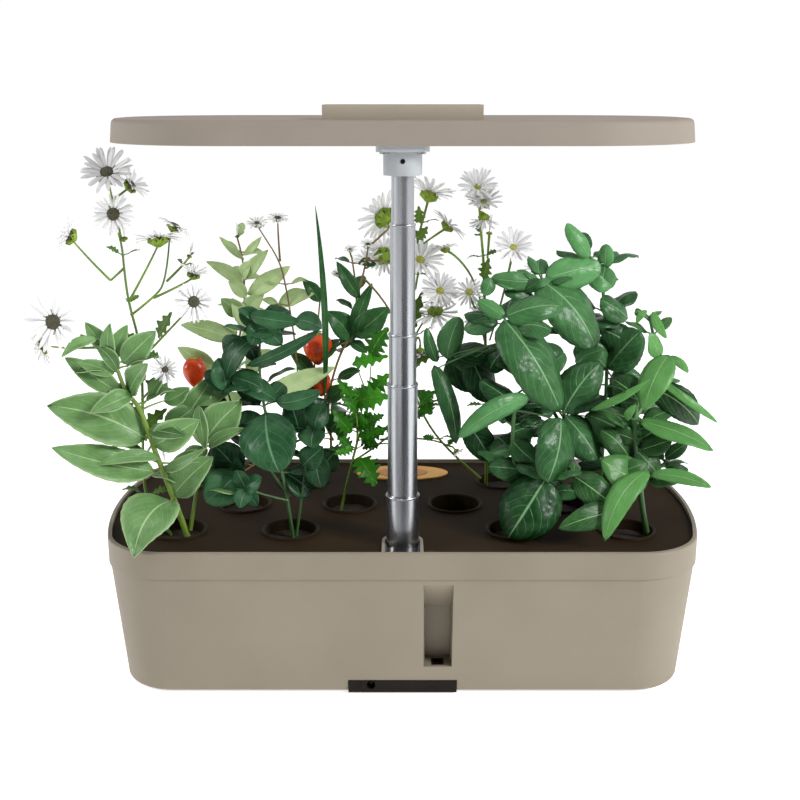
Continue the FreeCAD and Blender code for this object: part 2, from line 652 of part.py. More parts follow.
def lamp_head():
    """The lamp's shell, diffuser, boards, diodes, driver cover and screws."""
    outer, outer_pad = lamp_body("lamp_outer", "lamp_level", (), "lamp_height", "lamp_draft")
    round_edges(outer, outer_pad, "lamp_edge", size("lamp_level") + size("lamp_height"))
    inner, _ = lamp_body("lamp_inner", "lamp_level - 1", ("lamp_wall",),
                         "lamp_height - lamp_wall + 1", "lamp_draft")
    ceiling = "(lamp_level + lamp_height - lamp_wall)"
    boss = box("lamp_boss", ("0", "-mast_offset + 1"), "lamp_level", "boss_size",
               "boss_size - 2", "lamp_height - lamp_wall / 2")
    lead_hole = rod("lamp_lead_hole", ("0", "-mast_offset", "lamp_level - 1"), "lead_hole",
                    "lamp_height - lamp_wall + 1")
    post_low = "(lamp_level + board_rise + board_thickness)"
    posts = []
    post_holes = []
    for index, (x, y) in enumerate(post_spots()):
        posts.append(rod("lamp_post_%d" % index, (x, y, post_low), "boss_radius",
                         ceiling + " + lamp_wall / 2 - " + post_low))
        post_holes.append(rod("lamp_post_hole_%d" % index, (x, y, post_low + " - 1"),
                              "screw_radius + running_gap", "lamp_height / 3"))
    collar_holes = [rod("flange_hole_%d" % index, (x, y, "lamp_level - 1"),
                        "screw_radius + running_gap", "screw_length + 1")
                    for index, (x, y) in enumerate(flange_screws())]
    shell = fuse("lamp_solid", cut("lamp_hollow", outer, inner), boss, *posts)
    sub_part("lamp_shell", cut("lamp_shell_whole", shell, lead_hole, *post_holes,
                               *collar_holes))
    panel, _ = lamp_body("diffuser_panel", "lamp_level + fit_gap / 2", ("lamp_wall", "fit_gap"),
                         "diffuser_thickness")
    space = box("diffuser_space", ("0", "-mast_offset + 1"), "lamp_level - 1",
                "boss_size + 2 * fit_gap", "boss_size + 2 * fit_gap", "2 * lamp_height")
    sub_part("lamp_diffuser", cut("lamp_diffuser_whole", panel, space))
    board_low = "lamp_level + board_rise"
    board, _ = lamp_body("board_panel", board_low, ("board_inset",), "board_thickness")
    board_space = box("board_space", ("0", "-mast_offset + 1"), "lamp_level",
                      "boss_size + 2 * fit_gap", "boss_size + 2 * fit_gap", "lamp_height")
    board_holes = [rod("board_hole_%d" % index, (x, y, board_low + " - 1"),
                       "screw_radius + running_gap", "board_thickness + 2")
                   for index, (x, y) in enumerate(post_spots())]
    sub_part("lamp_board", cut("lamp_board_whole", board, board_space, *board_holes))
    diodes = []
    for column in range(-6, 7):
        for line_index in range(-2, 3):
            x = column * size("led_pitch_x")
            y = line_index * size("led_pitch_y")
            if clear_of_screws(x, y):
                diodes.append(diode(x, y))
    grouped("lamp_diodes", diodes)
    screws = []
    for x, y in post_spots():
        screws.append(screw(x, y, board_low, "(lamp_height / 4 + board_thickness)"))
    for x, y in flange_screws():
        screws.append(screw(x, y, "(lamp_level - flange_height)",
                            "(screw_length + flange_height - 1)"))
    sub_part("lamp_screws", fuse("lamp_screws_all", *screws))


def post_spots():
    """Where the lamp's board is screwed to its shell."""
    return [("%d * post_spacing_x" % column, "%d * post_spacing_y" % line_index)
            for column in (-1, 0, 1) for line_index in (-1, 1)
            if (column, line_index) != (0, -1)]


def flange_screws():
    """Where the collar's flange is screwed to the lamp, round the mast."""
    return [("%d * flange_screw" % across, "-mast_offset + %d * flange_screw" % along)
            for across in (-1, 1) for along in (-1, 1)]


def clear_of_screws(x, y):
    """Whether a diode at a point misses the board's screws, its edge and the boss."""
    if abs(x) > size("lamp_half_length") - size("lamp_corner") / 2:
        return False
    near_post = any(math.hypot(x - column * size("post_spacing_x"),
                               abs(y) - size("post_spacing_y")) < 2 * size("boss_radius")
                    for column in (-1, 0, 1))
    return not near_post and not (abs(x) < size("boss_size") and y < -size("boss_size"))


def diode(x, y):
    """One diode under the lamp's board."""
    side = size("led_size")
    low = size("lamp_level") + size("board_rise") - size("led_height")
    return Part.makeBox(side, side, size("led_height"), Vector(x - side / 2, y - side / 2, low))


def screw(x, y, seat, reach):
    """A pan-head screw driven up from its seat."""
    name = "screw_%d" % len(doc.Objects)
    shank = rod(name + "_shank", (x, y, seat), "screw_radius", reach)
    head = rod(name + "_head", (x, y, seat + " - screw_radius"), "screw_head", "screw_radius")
    return fuse(name, shank, head)


def lamp_collar():
    """The pale collar and flange that carry the lamp, the snap button, the driver cover."""
    low = "lamp_level - flange_height - collar_height"
    barrel = rod("collar_barrel", ("0", "-mast_offset", low), "collar_radius",
                 "collar_height + flange_height / 2")
    flange = doc.addObject("PartDesign::Body", "collar_flange")
    half = size("flange_size") / 2
    sketch = round_outline(flange, "lamp_level - flange_height", "flange_size / 2",
                           "flange_size / 2", "flange_corner",
                           (half, half, size("flange_corner")))
    pad(flange, sketch, "flange_height")
    place(flange, ("0", "-mast_offset", "0"))
    bore = rod("collar_bore", ("0", "-mast_offset", low + " - 1"),
               "tube_radius_1 + running_gap / 2", "collar_height + flange_height - tube_seat + 1")
    lead_hole = rod("collar_lead_hole", ("0", "-mast_offset", low), "lead_hole",
                    "2 * collar_height")
    snap_z = "lamp_level - flange_height - snap_drop"
    snap_hole = rod("collar_snap_hole", ("0", "-mast_offset - 2 * collar_radius", snap_z),
                    "snap_radius + running_gap", "2 * collar_radius", ALONG_Y)
    screw_holes = [rod("collar_screw_hole_%d" % index, (x, y, low),
                       "screw_radius + running_gap", "2 * collar_height")
                   for index, (x, y) in enumerate(flange_screws())]
    sub_part("lamp_collar", cut("lamp_collar_whole", fuse("collar_solid", barrel, flange), bore,
                                lead_hole, snap_hole, *screw_holes))
    sub_part("snap_button", rod("snap_pin", ("0", "-mast_offset - collar_radius - snap_proud",
                                             snap_z), "snap_radius", "snap_length", ALONG_Y))


def driver():
    """The raised cover on the lamp's top with the driver board under it."""
    top = "(lamp_level + lamp_height)"
    centre = ("0", "-driver_front + driver_depth / 2")
    outer = box("driver_outer", centre, top, "driver_length", "driver_depth", "driver_height")
    inner = box("driver_inner", centre, top + " - 1", "driver_length - 2 * driver_wall",
                "driver_depth - 2 * driver_wall", "driver_height - driver_wall + 1")
    sub_part("driver_cover", cut("driver_cover_whole", outer, inner))
    board = box("driver_board_plate", centre, top, "driver_length - 6 * driver_wall",
                "driver_depth - 6 * driver_wall", "board_thickness")
    coil = box("driver_coil", centre, top, "driver_height", "driver_height",
               "driver_height - 2 * driver_wall")
    capacitor = rod("driver_capacitor", ("driver_length / 4", centre[1], top), "driver_height / 3",
                    "driver_height - 2 * driver_wall")
    sub_part("driver_board", fuse("driver_board_whole", board, coil, capacitor))


def bottom_bay():
    """The bottom cover with its strip, the jack, the boards' parts, the feet and screws."""
    plate, _ = tank_body("cover_plate", "foot_height", ("skirt_inset", "fit_gap"),
                         "cover_thickness")
    strip = box("strip_block", ("0", "-strip_front + skirt_inset"), "foot_height",
                "strip_length", "2 * skirt_inset", "strip_height")
    strip_space = box("strip_space", ("0", "-strip_front + strip_wall + 2 * skirt_inset"),
                      "foot_height + cover_thickness", "strip_length - 2 * strip_wall",
                      "4 * skirt_inset", "strip_height")
    jack_z = "(foot_height + jack_rise)"
    jack_hole = rod("strip_jack_hole", ("-jack_offset", "-strip_front - 1", jack_z), "jack_bore",
                    "strip_wall + 2", ALONG_Y)
    groove = box("strip_groove", ("-groove_offset", "-strip_front"), "foot_height - 1",
                 "groove_width", "groove_width", "2 * strip_height")
    tools = [strip_space, jack_hole, groove]
    screws = []
    for index, (x, y) in enumerate(screw_spots()):
        tools.append(rod("cover_hole_%d" % index, (x, y, "0"), "screw_radius + running_gap",
                         "2 * cover_thickness + foot_height"))
        tools.append(rod("cover_sink_%d" % index, (x, y, "0"), "screw_head + running_gap",
                         "foot_height + screw_radius"))
        screws.append(screw(x, y, "foot_height + screw_radius", "screw_length"))
    feet = []
    foot_spots = [(sx + "foot_x", sy + "foot_y") for sx in ("-", "") for sy in ("-", "")]
    for index, (x, y) in enumerate(foot_spots + [("0", "0")]):
        feet.append(rod("foot_%d" % index, (x, y, "0"), "foot_radius",
                        "foot_height + foot_recess"))
        tools.append(rod("foot_seat_%d" % index, (x, y, "0"), "foot_radius + running_gap",
                         "foot_height + foot_recess"))
    whole = fuse("cover_solid", plate, strip)
    sub_part("bottom_cover", cut("bottom_cover_whole", whole, *tools))
    sub_part("cover_screws", fuse("cover_screws_all", *screws))
    sub_part("rubber_feet", fuse("rubber_feet_all", *feet))
    jack_spot = ("-jack_offset", "-strip_front + strip_wall + jack_length / 2")
    case = box("jack_case", jack_spot, "foot_height + cover_thickness", "jack_width",
               "jack_length", "jack_height")
    bore = rod("jack_case_bore", ("-jack_offset", "-strip_front", jack_z), "jack_bore - fit_gap",
               "strip_wall + jack_length - 2", ALONG_Y)
    pin = rod("jack_centre", ("-jack_offset", "-strip_front + strip_wall + 1", jack_z),
              "jack_pin", "jack_length - 2", ALONG_Y)
    sub_part("power_jack", fuse("power_jack_whole", cut("jack_bored", case, bore), pin))
    deck_low = "foot_height + cover_thickness"
    board = box("control_plate", ("0", "-control_offset"), deck_low + " + 2",
                "control_length", "control_width", "board_thickness")
    stands = [rod("control_stand_%d" % index, (x, y, deck_low), "screw_radius", "2.5")
              for index, (x, y) in enumerate([
                  (sx + "control_length / 2.3", "-control_offset " + sy + " control_width / 2.5")
                  for sx in ("-", "") for sy in ("-", "+")])]
    chip = box("control_chip", ("-10", "-control_offset"), deck_low + " + 3",
               "9", "9", "2")
    relay = box("control_relay", ("18", "-control_offset"), deck_low + " + 3",
                "10", "14", "6")
    sub_part("control_board", fuse("control_board_whole", board, chip, relay, *stands))
    socket_x = "recess_left + recess_width / 2"
    body = box("socket_body", (socket_x, "-socket_offset"), "recess_floor - socket_height",
               "socket_width", "socket_depth", "socket_height - fit_gap")
    slot = box("socket_slot", (socket_x, "-socket_offset"), "recess_floor - socket_height / 2",
               "socket_width - 3", "socket_depth - 4", "socket_height")
    tongue = box("socket_tongue", (socket_x, "-socket_offset"), "recess_floor - socket_height / 2",
                 "socket_width - 4", "1.2", "socket_height / 3")
    sub_part("accessory_socket", fuse("accessory_socket_whole",
                                      cut("socket_hollow", body, slot), tongue))


def pump():
    """The pump on the tank's floor: body, cover, impeller on its shaft, outlet and feet."""
    low = "(floor_level + pump_foot)"
    middle_z = "(floor_level + pump_foot + pump_height / 2)"
    face = "(pump_x - pump_length / 2)"
    case = box("pump_case", ("pump_x", "pump_y"), low, "pump_length", "pump_width",
               "pump_height")
    chamber = rod("pump_chamber", (face + " - 1", "pump_y", middle_z), "chamber_radius",
                  "chamber_depth + 1", ALONG_X)
    seat = rod("pump_shaft_seat", (face, "pump_y", middle_z), "shaft_radius + running_gap",
               "chamber_depth + 6", ALONG_X)
    riser = rod("pump_riser", (face + " + chamber_depth / 2", "pump_y", middle_z),
                "outlet_bore", "pump_height")
    socket = rod("pump_outlet_seat", (face + " + chamber_depth / 2", "pump_y",
                                      low + " + pump_height - 3"), "outlet_radius + running_gap",
                 "pump_height")
    sub_part("pump_body", cut("pump_body_whole", case, chamber, seat, riser, socket))
    plate = box("pump_cover_plate", (face + " - pump_cover / 2", "pump_y"), low, "pump_cover",
                "pump_width", "pump_height")
    slots = [box("pump_slot_%d" % step, (face + " - pump_cover / 2",
                                         "pump_y + %d * 2.4 * blade_thickness" % step),
                 middle_z + " + shaft_radius + 1.5", "pump_cover + 2", "blade_thickness",
                 "chamber_radius - shaft_radius - 3.5") for step in range(-3, 4)]
    cover_seat = rod("pump_cover_seat", (face + " - pump_cover / 2", "pump_y", middle_z),
                     "shaft_radius + running_gap", "pump_cover", ALONG_X)
    sub_part("pump_cover", cut("pump_cover_whole", plate, cover_seat, *slots))
    sub_part("pump_shaft", rod("pump_shaft_rod", (face + " - pump_cover / 2 + running_gap",
                                                  "pump_y", middle_z), "shaft_radius",
                               "chamber_depth + 6 + pump_cover / 2 - 2 * running_gap", ALONG_X))
    start = face + " + 1.5"
    hub = rod("impeller_hub", (start, "pump_y", middle_z), "hub_radius", "impeller_depth",
              ALONG_X)
    blades = []
    for index in range(3):
        blade = box("impeller_blade_%d" % index, ("0", "0"), "0", "impeller_depth",
                    "2 * impeller_radius", "blade_thickness")
        angle = 60 * index
        blade.Placement = Placement(Vector(), Rotation(Vector(1, 0, 0), angle))
        cosine = math.cos(math.radians(angle))
        sine = math.sin(math.radians(angle))
        bind(blade, "Placement.Base.x", start)
        bind(blade, "Placement.Base.y", "pump_y - %.6f * impeller_radius"
             " + %.6f * blade_thickness / 2" % (cosine, sine))
        bind(blade, "Placement.Base.z", middle_z + " - %.6f * impeller_radius"
             " - %.6f * blade_thickness / 2" % (sine, cosine))
        blades.append(blade)
    bore = rod("impeller_bore", (start + " - 1", "pump_y", middle_z),
               "shaft_radius + running_gap", "impeller_depth + 2", ALONG_X)
    sub_part("pump_impeller", cut("pump_impeller_whole", fuse("impeller_solid", hub, *blades),
                                  bore))
    pipe = rod("outlet_pipe", (face + " + chamber_depth / 2", "pump_y",
                               low + " + pump_height - 3"), "outlet_radius", "outlet_height")
    pipe_bore = rod("outlet_pipe_bore", (face + " + chamber_depth / 2", "pump_y", low),
                    "outlet_bore", "pump_height + outlet_height")
    sub_part("pump_outlet", cut("pump_outlet_whole", pipe, pipe_bore))
    feet = [rod("pump_foot_%d" % index, (x, y, "floor_level"), "outlet_radius", "pump_foot")
            for index, (x, y) in enumerate([
                ("pump_x " + sx + " pump_length / 3", "pump_y " + sy + " pump_width / 3")
                for sx in ("-", "+") for sy in ("-", "+")])]
    sub_part("pump_feet", fuse("pump_feet_all", *feet))


def prism(corners, reach):
    """A plate or rod with flat faces from its end's corners."""
    return Part.Face(Part.makePolygon(corners + corners[:1])).extrude(reach)


def leaf_plate(base, tip, width):
    """A lens-shaped leaf from its base to its tip, its broad side towards the front."""
    reach = tip - base
    side = reach.cross(FRONT).normalize() * (width / 2)
    rise = side.cross(reach).normalize() * size("leaf_thickness")
    shares = [step / 8 for step in range(9)]
    there = [base + reach * share + side * math.sin(math.pi * share ** 0.85)
             for share in shares]
    back = [base + reach * share - side * math.sin(math.pi * share ** 0.85)
            for share in shares[-2:0:-1]]
    return prism(there + back, rise)


def stem_pieces(points, radius):
    """A chain of six-sided rods that run a little into each other at the bends."""
    pieces = []
    for start, end in zip(points, points[1:]):
        along = (end - start).normalize()
        side = along.cross(Vector(0.2, -1, 0.1)).normalize()
        across = along.cross(side)
        foot = start - along * (radius / 2)
        corners = [foot + side * (radius * math.cos(turn * math.pi / 3))
                   + across * (radius * math.sin(turn * math.pi / 3)) for turn in range(6)]
        pieces.append(prism(corners, along * (start.distanceToPoint(end) + radius)))
    return pieces


def flower_head(centre, radius, facing):
    """A flat head of pointed petals."""
    side = facing.cross(Vector(0.9, 0.1, 0.3)).normalize()
    across = facing.cross(side)
    petals = max(6, round(radius / 1.5))
    corners = []
    for step in range(2 * petals):
        reach = radius if step % 2 else 0.55 * radius
        turn = math.pi * step / petals
        corners.append(centre + side * (reach * math.cos(turn))
                       + across * (reach * math.sin(turn)))
    return prism(corners, facing * size("petal_thickness"))


def stalk(spot, chains):
    """A thin rod from a point to the nearest place on the plant's stems."""
    vertex = Part.Vertex(spot)
    lengths = [vertex.distToShape(chain) for chain in chains]
    distance, pairs, _ = min(lengths, key=lambda found: found[0])
    if distance < size("stalk_radius"):
        return []
    foot = pairs[0][1]
    return stem_pieces([foot, spot], size("stalk_radius"))


def plant_shape(label):
    """One plant's stems and leaves, its flower heads and its fruits, each as one shape."""
    plant = PLANTS[label]
    x, y = hole_values()[plant["hole"]]
    mouth = Vector(x, y, size("rim_top") - size("deck_drop"))
    routes = [[mouth + Vector(*point) for point in points] for points in plant["stems"]]
    chains = [Part.makePolygon(route) for route in routes]
    greens = []
    for index, route in enumerate(routes):
        greens += stem_pieces(route, plant["stem_radius"])
        if index and route[0].z > mouth.z:
            greens += stalk(route[0], chains[:index])
    for base, tip, width in plant["leaves"]:
        greens.append(leaf_plate(mouth + Vector(*base), mouth + Vector(*tip), width))
        greens += stalk(mouth + Vector(*base), chains)
    for centre, _, _ in plant.get("heads", []):
        greens += stalk(mouth + Vector(*centre), chains)
    heads = [flower_head(mouth + Vector(*centre), radius, Vector(*facing).normalize())
             for centre, radius, facing in plant.get("heads", [])]
    fruits = [Part.makeSphere(radius, mouth + Vector(*centre))
              for centre, radius in plant.get("fruits", [])]
    return [joined(pieces) for pieces in (greens, heads, fruits)]


def joined(pieces):
    """Like pieces fused into one shape, or nothing where there are none."""
    if not pieces:
        return None
    return pieces[0].multiFuse(pieces[1:]) if len(pieces) > 1 else pieces[0]


def clear_of(shape, neighbours):
    """A shape cut back where its neighbours already stand."""
    near = [other for other in neighbours if shape.BoundBox.intersect(other.BoundBox)]
    rest = shape.cut(near) if near else shape
    return Part.makeCompound([solid for solid in rest.Solids if solid.Volume > 5])


def plants():
    """The plants' stand-ins: stems with leaves, flower heads and fruits, none in another."""
    placed = []
    groups = {"daisy_heads_left": [], "daisy_heads_right": [], "pepper_fruits": []}
    for label in PLANTS:
        greens, heads, fruits = plant_shape(label)
        right = PLANTS[label]["hole"] % 4 > 1
        for group, shape in (("daisy_heads_right" if right else "daisy_heads_left", heads),
                             ("pepper_fruits", fruits)):
            if shape:
                groups[group].append(clear_of(shape, placed))
                placed.append(groups[group][-1])
        greens = clear_of(greens, placed)
        placed.append(greens)
        item = doc.addObject("Part::Feature", label + "_form")
        item.Shape = greens
        sub_part(label, item)
    for group, shapes in groups.items():
        grouped(group, [solid for shape in shapes for solid in shape.Solids])


# The plants, as offsets in millimetres from the mouth of each plant's basket.
# A stem is a chain of points; a leaf is its base, its tip and its width.
# A flower head is its middle, its radius and where it faces; a fruit is its middle and radius.
FRONT = Vector(0, -0.9, 0.45)
PLANTS = {
    "lance_plant": {
        "hole": 0, "stem_radius": 2.0,
        "stems": [
            [(7, 0, -4), (-9, -4, 48), (-21, -2, 89), (-36, 3, 113), (-40, 5, 124)],
            [(8, 0, 0), (15, 1, 36), (22, 3, 65)],
        ],
        "leaves": [
            ((-14, -4, 44), (-78, -19, 66), 23), ((-19, -2, 67), (-82, -9, 92), 31),
            ((-34, 3, 96), (-73, 9, 121), 14), ((-39, 6, 125), (-58, 11, 145), 11),
            ((-29, 3, 98), (-14, -5, 120), 18), ((-33, 5, 118), (-11, 11, 139), 17),
            ((-13, -5, 63), (20, -11, 83), 20), ((-2, -2, 27), (27, -7, 56), 21),
            ((22, 3, 66), (46, 7, 91), 24), ((-3, -7, 24), (-20, -51, 7), 34),
        ],
    },
    "daisy_left": {
        "hole": 0, "stem_radius": 1.2,
        "stems": [
            [(-6, 5, -5), (-26, 13, 34), (-23, 17, 129), (-32, 21, 180), (-38, 23, 215)],
            [(-30, 19, 157), (-17, 23, 179), (-9, 25, 195)],
            [(-29, 19, 148), (-14, 25, 159), (-5, 27, 170), (-2, 29, 198)],
            [(-5, 27, 170), (9, 29, 183), (11, 29, 187)],
            [(-41, 19, 172), (-53, 17, 185), (-65, 15, 201)],
            [(-32, 21, 180), (-41, 19, 172)],
            [(-33, 23, 199), (-39, 29, 225), (-41, 29, 239)],
            [(-38, 27, 225), (-26, 31, 234)],
            [(-23, 17, 129), (-51, 9, 128), (-77, 3, 147)],
            [(-51, 9, 128), (-76, 11, 126), (-88, 13, 129)],
            [(-23, 16, 118), (-1, 11, 140), (17, 7, 159)],
            [(-14, 25, 159), (4, 25, 167), (14, 25, 173)],
            [(-24, 15, 90), (-12, 9, 102), (-5, 5, 113)],
            [(-25, 13, 47), (-11, 7, 72), (-2, 5, 73)],
        ],
        "leaves": [
            ((-24, 15, 75), (-37, 9, 91), 8), ((-25, 15, 61), (-7, 7, 74), 8),
            ((-23, 17, 129), (-37, 13, 139), 7),
        ],
        "heads": [
            ((-41, 29, 242), 21, (0, -0.75, 0.65)), ((-27, 33, 234), 14, (0.8, -0.2, 0.5)),
            ((-37, 22, 216), 15, (0, -1, 0.2)), ((-65, 15, 202), 15, (-0.8, -0.3, 0.45)),
            ((-9, 25, 199), 18, (-0.1, 0.25, 0.95)), ((2, 29, 207), 14, (0.5, 0.1, 0.85)),
            ((-76, 2, 147), 22, (-0.1, -1, 0.15)), ((-89, 15, 128), 16, (-0.85, -0.1, -0.3)),
            ((17, 5, 160), 16, (0.1, -1, 0.15)), ((14, 25, 175), 12, (0.3, -0.1, 0.9)),
            ((-4, 4, 114), 11, (0, -1, 0.15)),
        ],
    },
    "round_leaf_plant": {
        "hole": 1, "stem_radius": 1.4,
        "stems": [
            [(2, 0, -5), (-4, 1, 37), (-18, 7, 92), (-17, 11, 143)],
            [(4, 0, -5), (8, 1, 22), (11, 3, 46), (17, 5, 72)],
            [(0, -1, 25), (-19, 7, 49), (-35, 15, 68), (-42, 13, 96)],
            [(-1, -1, 22), (-18, -7, 28), (-29, -9, 34)],
        ],
        "leaves": [
            ((-15, 3, 84), (-5, -15, 47), 31), ((18, 5, 72), (25, 7, 89), 16),
            ((9, 3, 46), (24, -1, 61), 14), ((-57, 21, 53), (-32, 13, 32), 18),
            ((-42, 13, 104), (-19, 13, 135), 15), ((-17, 11, 143), (2, 17, 151), 11),
            ((-17, 11, 143), (-32, 17, 152), 11), ((-28, 11, 115), (22, 9, 140), 7),
            ((-8, 7, 90), (23, 3, 99), 10), ((-43, 13, 97), (-48, 17, 119), 15),
            ((-29, -9, 34), (-35, -9, 47), 11),
            ((-36, 3, 40), (-57, -7, 23), 22), ((18, 5, 55), (22, 3, 30), 15),
            ((-4, 7, 40), (13, 13, 22), 18), ((7, 9, 68), (0, 11, 92), 14),
        ],
    },
    "pale_plant": {
        "hole": 8, "stem_radius": 1.1,
        "stems": [
            [(1, 0, -5), (26, -9, 84), (38, -13, 134), (39, -13, 177), (35, -13, 192)],
            [(78, -19, 39), (76, -21, 118), (67, -23, 176), (51, -23, 202)],
            [(67, -23, 176), (66, -23, 191), (66, -23, 204)],
            [(22, -3, 2), (54, -11, 25), (78, -19, 39)],
            [(26, -9, 84), (12, -16, 104), (1, -23, 100)],
        ],
        "leaves": [
            ((39, -13, 155), (12, -17, 175), 10), ((41, -13, 150), (74, -19, 172), 14),
            ((38, -13, 135), (54, -19, 151), 13), ((37, -13, 134), (22, -19, 148), 13),
            ((39, -13, 176), (22, -15, 193), 6), ((39, -13, 179), (53, -15, 193), 6),
            ((64, -15, 142), (91, -21, 152), 13), ((33, -11, 114), (-9, -17, 128), 15),
            ((38, -11, 91), (59, -17, 109), 15), ((51, -13, 75), (106, -25, 98), 18),
        ],
        "fruits": [((1, -23, 93), 10)],
        "heads": [
            ((51, -23, 203), 9, (0, -0.5, 0.9)), ((66, -23, 207), 9, (0.1, -0.4, 0.9)),
        ],
    },
    "pepper_plant": {
        "hole": 9, "stem_radius": 1.2,
        "stems": [
            [(4, 0, -5), (25, -9, 27), (31, -15, 106), (46, -19, 148), (41, -21, 179)],
            [(25, -9, 36), (10, -13, 86), (20, -17, 175)],
            [(46, -19, 148), (36, -19, 160), (30, -19, 165)],
            [(46, -19, 154), (51, -21, 171), (53, -23, 186)],
            [(50, -21, 163), (69, -23, 145), (79, -23, 118)],
        ],
        "leaves": [
            ((46, -19, 148), (30, -23, 176), 9), ((39, -17, 117), (22, -23, 139), 15),
            ((40, -17, 120), (56, -21, 160), 9), ((42, -19, 120), (68, -27, 143), 16),
            ((20, -17, 175), (14, -19, 216), 6), ((17, -15, 145), (5, -19, 162), 9),
            ((10, -13, 86), (-6, -17, 107), 11),
        ],
        "heads": [
            ((40, -21, 184), 6, (0, -0.4, 0.9)), ((53, -23, 188), 7, (0.1, -0.4, 0.9)),
            ((30, -19, 166), 5, (0, -0.5, 0.9)), ((65, -7, 206), 22, (-0.45, 0.75, 0.35)),
            ((64, -9, 178), 18, (0.1, 0.85, 0.25)), ((52, -13, 175), 13, (-0.2, -0.3, 0.95)),
        ],
        "fruits": [((15, -19, 110), 13), ((17, -17, 83), 8)],
    },
    "cut_leaf_plant": {
        "hole": 5, "stem_radius": 1.1,
        "stems": [
            [(-7, 0, -5), (7, -6, 51), (5, -8, 79)],
            [(2, -4, 34), (10, -2, 61), (15, 0, 81)],
            [(2, -4, 34), (30, -2, 50), (55, 2, 78)],
            [(23, -4, 51), (59, -8, 56), (73, -10, 48)],
        ],
        "leaves": [
            ((5, -8, 80), (29, -14, 86), 16), ((5, -8, 80), (-7, -12, 98), 9),
            ((3, -5, 45), (-10, -12, 42), 7), ((6, -5, 37), (19, -16, 19), 16),
            ((15, 0, 83), (29, -4, 100), 13), ((55, 2, 78), (60, -4, 70), 13),
            ((16, -2, 113), (29, -4, 134), 13),
        ],
        "heads": [
            ((78, -10, 44), 6, (0.6, -0.3, -0.7)),
        ],
    },
    "daisy_right": {
        "hole": 10, "stem_radius": 1.3,
        "stems": [
            [(-12, 0, -5), (-14, -5, 83), (-18, -7, 177), (-21, -7, 210), (-23, -7, 222)],
            [(-46, -1, 181), (-40, -1, 180), (-22, -3, 158), (-16, -5, 131)],
            [(-12, 0, 4), (-61, 7, 48), (-69, 3, 108), (-53, -3, 139), (-50, -5, 149)],
            [(-58, 7, 220), (-67, 3, 188), (-69, 3, 108)],
            [(-44, 9, 197), (-51, 7, 193), (-66, 3, 183)],
            [(-14, -9, 193), (-15, -8, 176)],
            [(3, -13, 181), (-1, -11, 153), (-12, -7, 114)],
            [(-69, 3, 108), (-65, 5, 120), (-64, 5, 108)],
            [(-65, -3, 171), (-68, 3, 151)],
            [(-28, -11, 149), (-20, -7, 130)],
            [(-21, -13, 137), (-16, -7, 114)],
        ],
        "leaves": [
            ((-17, -7, 160), (-14, -13, 177), 9), ((-71, 3, 118), (-62, -5, 152), 9),
            ((-70, 5, 64), (-81, -1, 82), 12),
        ],
        "heads": [
            ((-58, 7, 221), 22, (0.3, 0.35, 0.85)), ((-44, 9, 198), 17, (0.65, 0.1, 0.7)),
            ((-46, -1, 182), 12, (-0.1, 0.2, 0.95)), ((-65, -3, 173), 22, (0.15, -0.65, 0.7)),
            ((-50, -6, 151), 17, (0.1, -0.85, 0.45)), ((-53, -1, 135), 19, (0.1, 0.4, -0.85)),
            ((-64, 5, 102), 16, (0.1, -0.15, -1)), ((-23, -7, 227), 17, (0, -0.7, 0.7)),
            ((-19, -13, 217), 16, (0.05, -0.55, 0.8)), ((-18, -6, 206), 14, (0, 0.2, -0.9)),
            ((3, -13, 184), 18, (0.1, -0.8, 0.6)), ((21, -5, 167), 10, (0, -0.3, 0.9)),
            ((-28, -11, 151), 13, (-0.2, -0.8, 0.5)), ((-21, -15, 137), 16, (0.35, -0.8, -0.4)),
        ],
    },
    "basil_near": {
        "hole": 2, "stem_radius": 2.0,
        "stems": [
            [(1, 0, -4), (-2, 1, 53), (-1, 5, 89)],
            [(9, -3, -4), (10, -9, 11), (19, -13, 34), (20, -15, 43)],
        ],
        "leaves": [
            ((19, -15, 43), (-7, -27, 5), 40), ((29, -3, 82), (19, -21, 42), 32),
            ((10, 3, 42), (-19, -5, 48), 18), ((8, 3, 95), (-41, -13, 71), 15),
            ((-1, 5, 89), (-25, 13, 104), 18), ((-3, 1, 65), (13, -5, 51), 16),
        ],
    },
    "basil_middle": {
        "hole": 7, "stem_radius": 1.8,
        "stems": [
            [(0, 0, -4), (-1, -8, 29), (-2, -20, 63), (-4, -28, 78)],
            [(-2, -20, 63), (-24, -24, 100), (-41, -26, 129), (-47, -26, 145)],
            [(-4, -9, -4), (-6, -16, 14), (-3, -26, 57)],
        ],
        "leaves": [
            ((-47, -28, 144), (-9, -46, 84), 40), ((-46, -27, 146), (-7, -20, 152), 21),
            ((-4, -28, 78), (22, -18, 111), 29), ((-3, -30, 76), (19, -44, 48), 27),
            ((12, -26, 76), (61, -40, 43), 32), ((-85, -8, 112), (-77, -14, 143), 18),
            ((-92, -4, 109), (-100, -6, 134), 9), ((-85, -8, 112), (-52, -4, 116), 21),
            ((-95, -10, 107), (-79, -16, 51), 14), ((-52, -24, 144), (-74, -18, 135), 14),
            ((-41, -22, 125), (-55, -10, 103), 18),
            ((-85, -4, 110), (-56, 4, 89), 24), ((-69, -8, 114), (-52, -2, 79), 24),
            ((-70, -10, 64), (-53, -6, 36), 20), ((-47, -14, 77), (-18, -8, 63), 19),
        ],
    },
    "basil_back": {
        "hole": 11, "stem_radius": 1.6,
        "stems": [
            [(0, 0, -4), (-2, -17, 93), (-8, -19, 151), (-18, -19, 178)],
            [(-2, -17, 93), (-25, -23, 125), (-52, -29, 155), (-55, -31, 164)],
            [(-55, -31, 162), (-71, -33, 157), (-82, -37, 137)],
            [(-8, -19, 151), (-6, -17, 161), (-8, -17, 170)],
        ],
        "leaves": [
